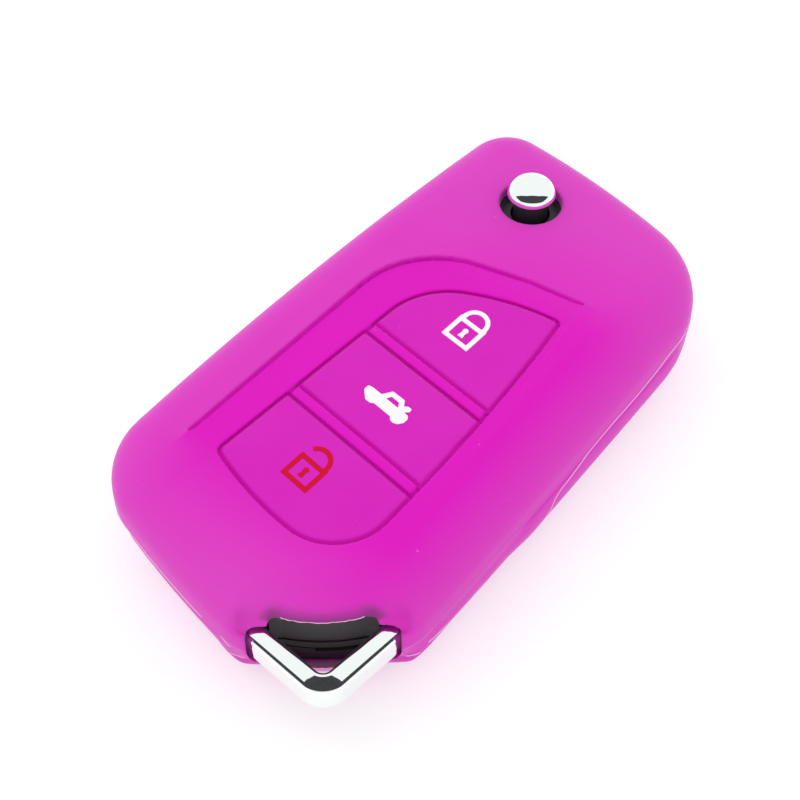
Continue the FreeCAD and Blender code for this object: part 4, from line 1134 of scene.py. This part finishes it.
paper = Finish("paper", Roughness=0.9)
seen = 0
for ray in ("Is Camera Ray", "Is Glossy Ray", "Is Transmission Ray"):
    seen = paper.node("ShaderNodeLightPath", {}, {}, ray) + seen
grey = FLOOR_LIT + seen * (FLOOR_SEEN - FLOOR_LIT) + paper.noise(FLOOR_MOTTLE_SIZE) * FLOOR_MOTTLE
white = paper.node("ShaderNodeCombineColor", {}, {"Red": grey, "Green": grey, "Blue": grey}, "Color")
paper.wire(Base_Color=white)
glow_sockets = {"Color": (1, 1, 1, 1), "Strength": seen * FLOOR_GLOW}
glow = paper.node("ShaderNodeEmission", {}, glow_sockets, "Emission")
both = paper.node("ShaderNodeAddShader", {}, {0: Value(paper, paper.shader.outputs[0]), 1: glow}, "Shader")
paper.plug(paper.tree.nodes["Material Output"].inputs["Surface"], both)
sheet = bmesh.new()
bmesh.ops.create_grid(sheet, x_segments=1, y_segments=1, size=FLOOR_HALF)
stage_piece("floor", sheet, paper)
print("floor", FLOOR_HALF * 2, "m wide")

# %% Dark gap on the camera's side
AWAY_FROM_CAMERA = Vector((0.799, 0.602, 0))
GAP_HEIGHT = 0.153
GAP_HALF = 0.5
GAP_NEAR = -0.4
GAP_EDGE = -0.022
GLOOM_GRAIN = 2 * MM
GLOOM_DARK = rgb(26, 26, 29)
GLOOM_PALE = rgb(92, 92, 96)
gloom = Finish("gloom", Roughness=1.0, Specular_IOR_Level=0)
gloom.wire(Base_Color=gloom.mix(gloom.noise(GLOOM_GRAIN), GLOOM_DARK, GLOOM_PALE))
dark = bmesh.new()
aside = AWAY_FROM_CAMERA.cross(Vector((0, 0, 1)))
rise = Vector((0, 0, GAP_HEIGHT))
near, far = AWAY_FROM_CAMERA * GAP_NEAR, AWAY_FROM_CAMERA * GAP_EDGE
dark.faces.new([dark.verts.new(corner + rise) for corner in (
    near - aside * GAP_HALF, near + aside * GAP_HALF, far + aside * GAP_HALF, far - aside * GAP_HALF)])
dark_gap = stage_piece("dark_gap", dark, gloom)
for ray in ("camera", "diffuse", "transmission", "shadow"):
    setattr(dark_gap, "visible_" + ray, False)
print("dark gap has", len(dark_gap.data.polygons), "faces")

# %% World and lamp
WORLD_LIGHT = 0.935
world = bpy.data.worlds.new("studio")
scene.world = world
world.use_nodes = True
tree = world.node_tree
back = tree.nodes["Background"]
back.inputs["Color"].default_value = (1, 1, 1, 1)
rays = tree.nodes.new("ShaderNodeLightPath")
seen = rays.outputs["Is Camera Ray"]
for ray in ("Is Glossy Ray", "Is Transmission Ray"):
    either = tree.nodes.new("ShaderNodeMath")
    either.operation = "MAXIMUM"
    tree.links.new(seen, either.inputs[0])
    tree.links.new(rays.outputs[ray], either.inputs[1])
    seen = either.outputs[0]
level = tree.nodes.new("ShaderNodeMapRange")
level.inputs["To Min"].default_value = WORLD_LIGHT
level.inputs["To Max"].default_value = 1.0
tree.links.new(seen, level.inputs["Value"])
tree.links.new(level.outputs["Result"], back.inputs["Strength"])


def lamp(name, place, size, power):
    """Square soft lamp that looks at the object."""
    light = bpy.data.lights.new(name, "AREA")
    light.size = size
    light.energy = power
    shown = bpy.data.objects.new(name, light)
    shown.location = place
    shown.rotation_euler = (-Vector(place)).to_track_quat("-Z", "Y").to_euler()
    shown.visible_glossy = False
    scene.collection.objects.link(shown)
    print(name, power, "W")


lamp("key_lamp", place=(-0.05, 0.35, 0.55), size=0.45, power=0.4)
scene.view_settings.view_transform = "Standard"

# %% [markdown]
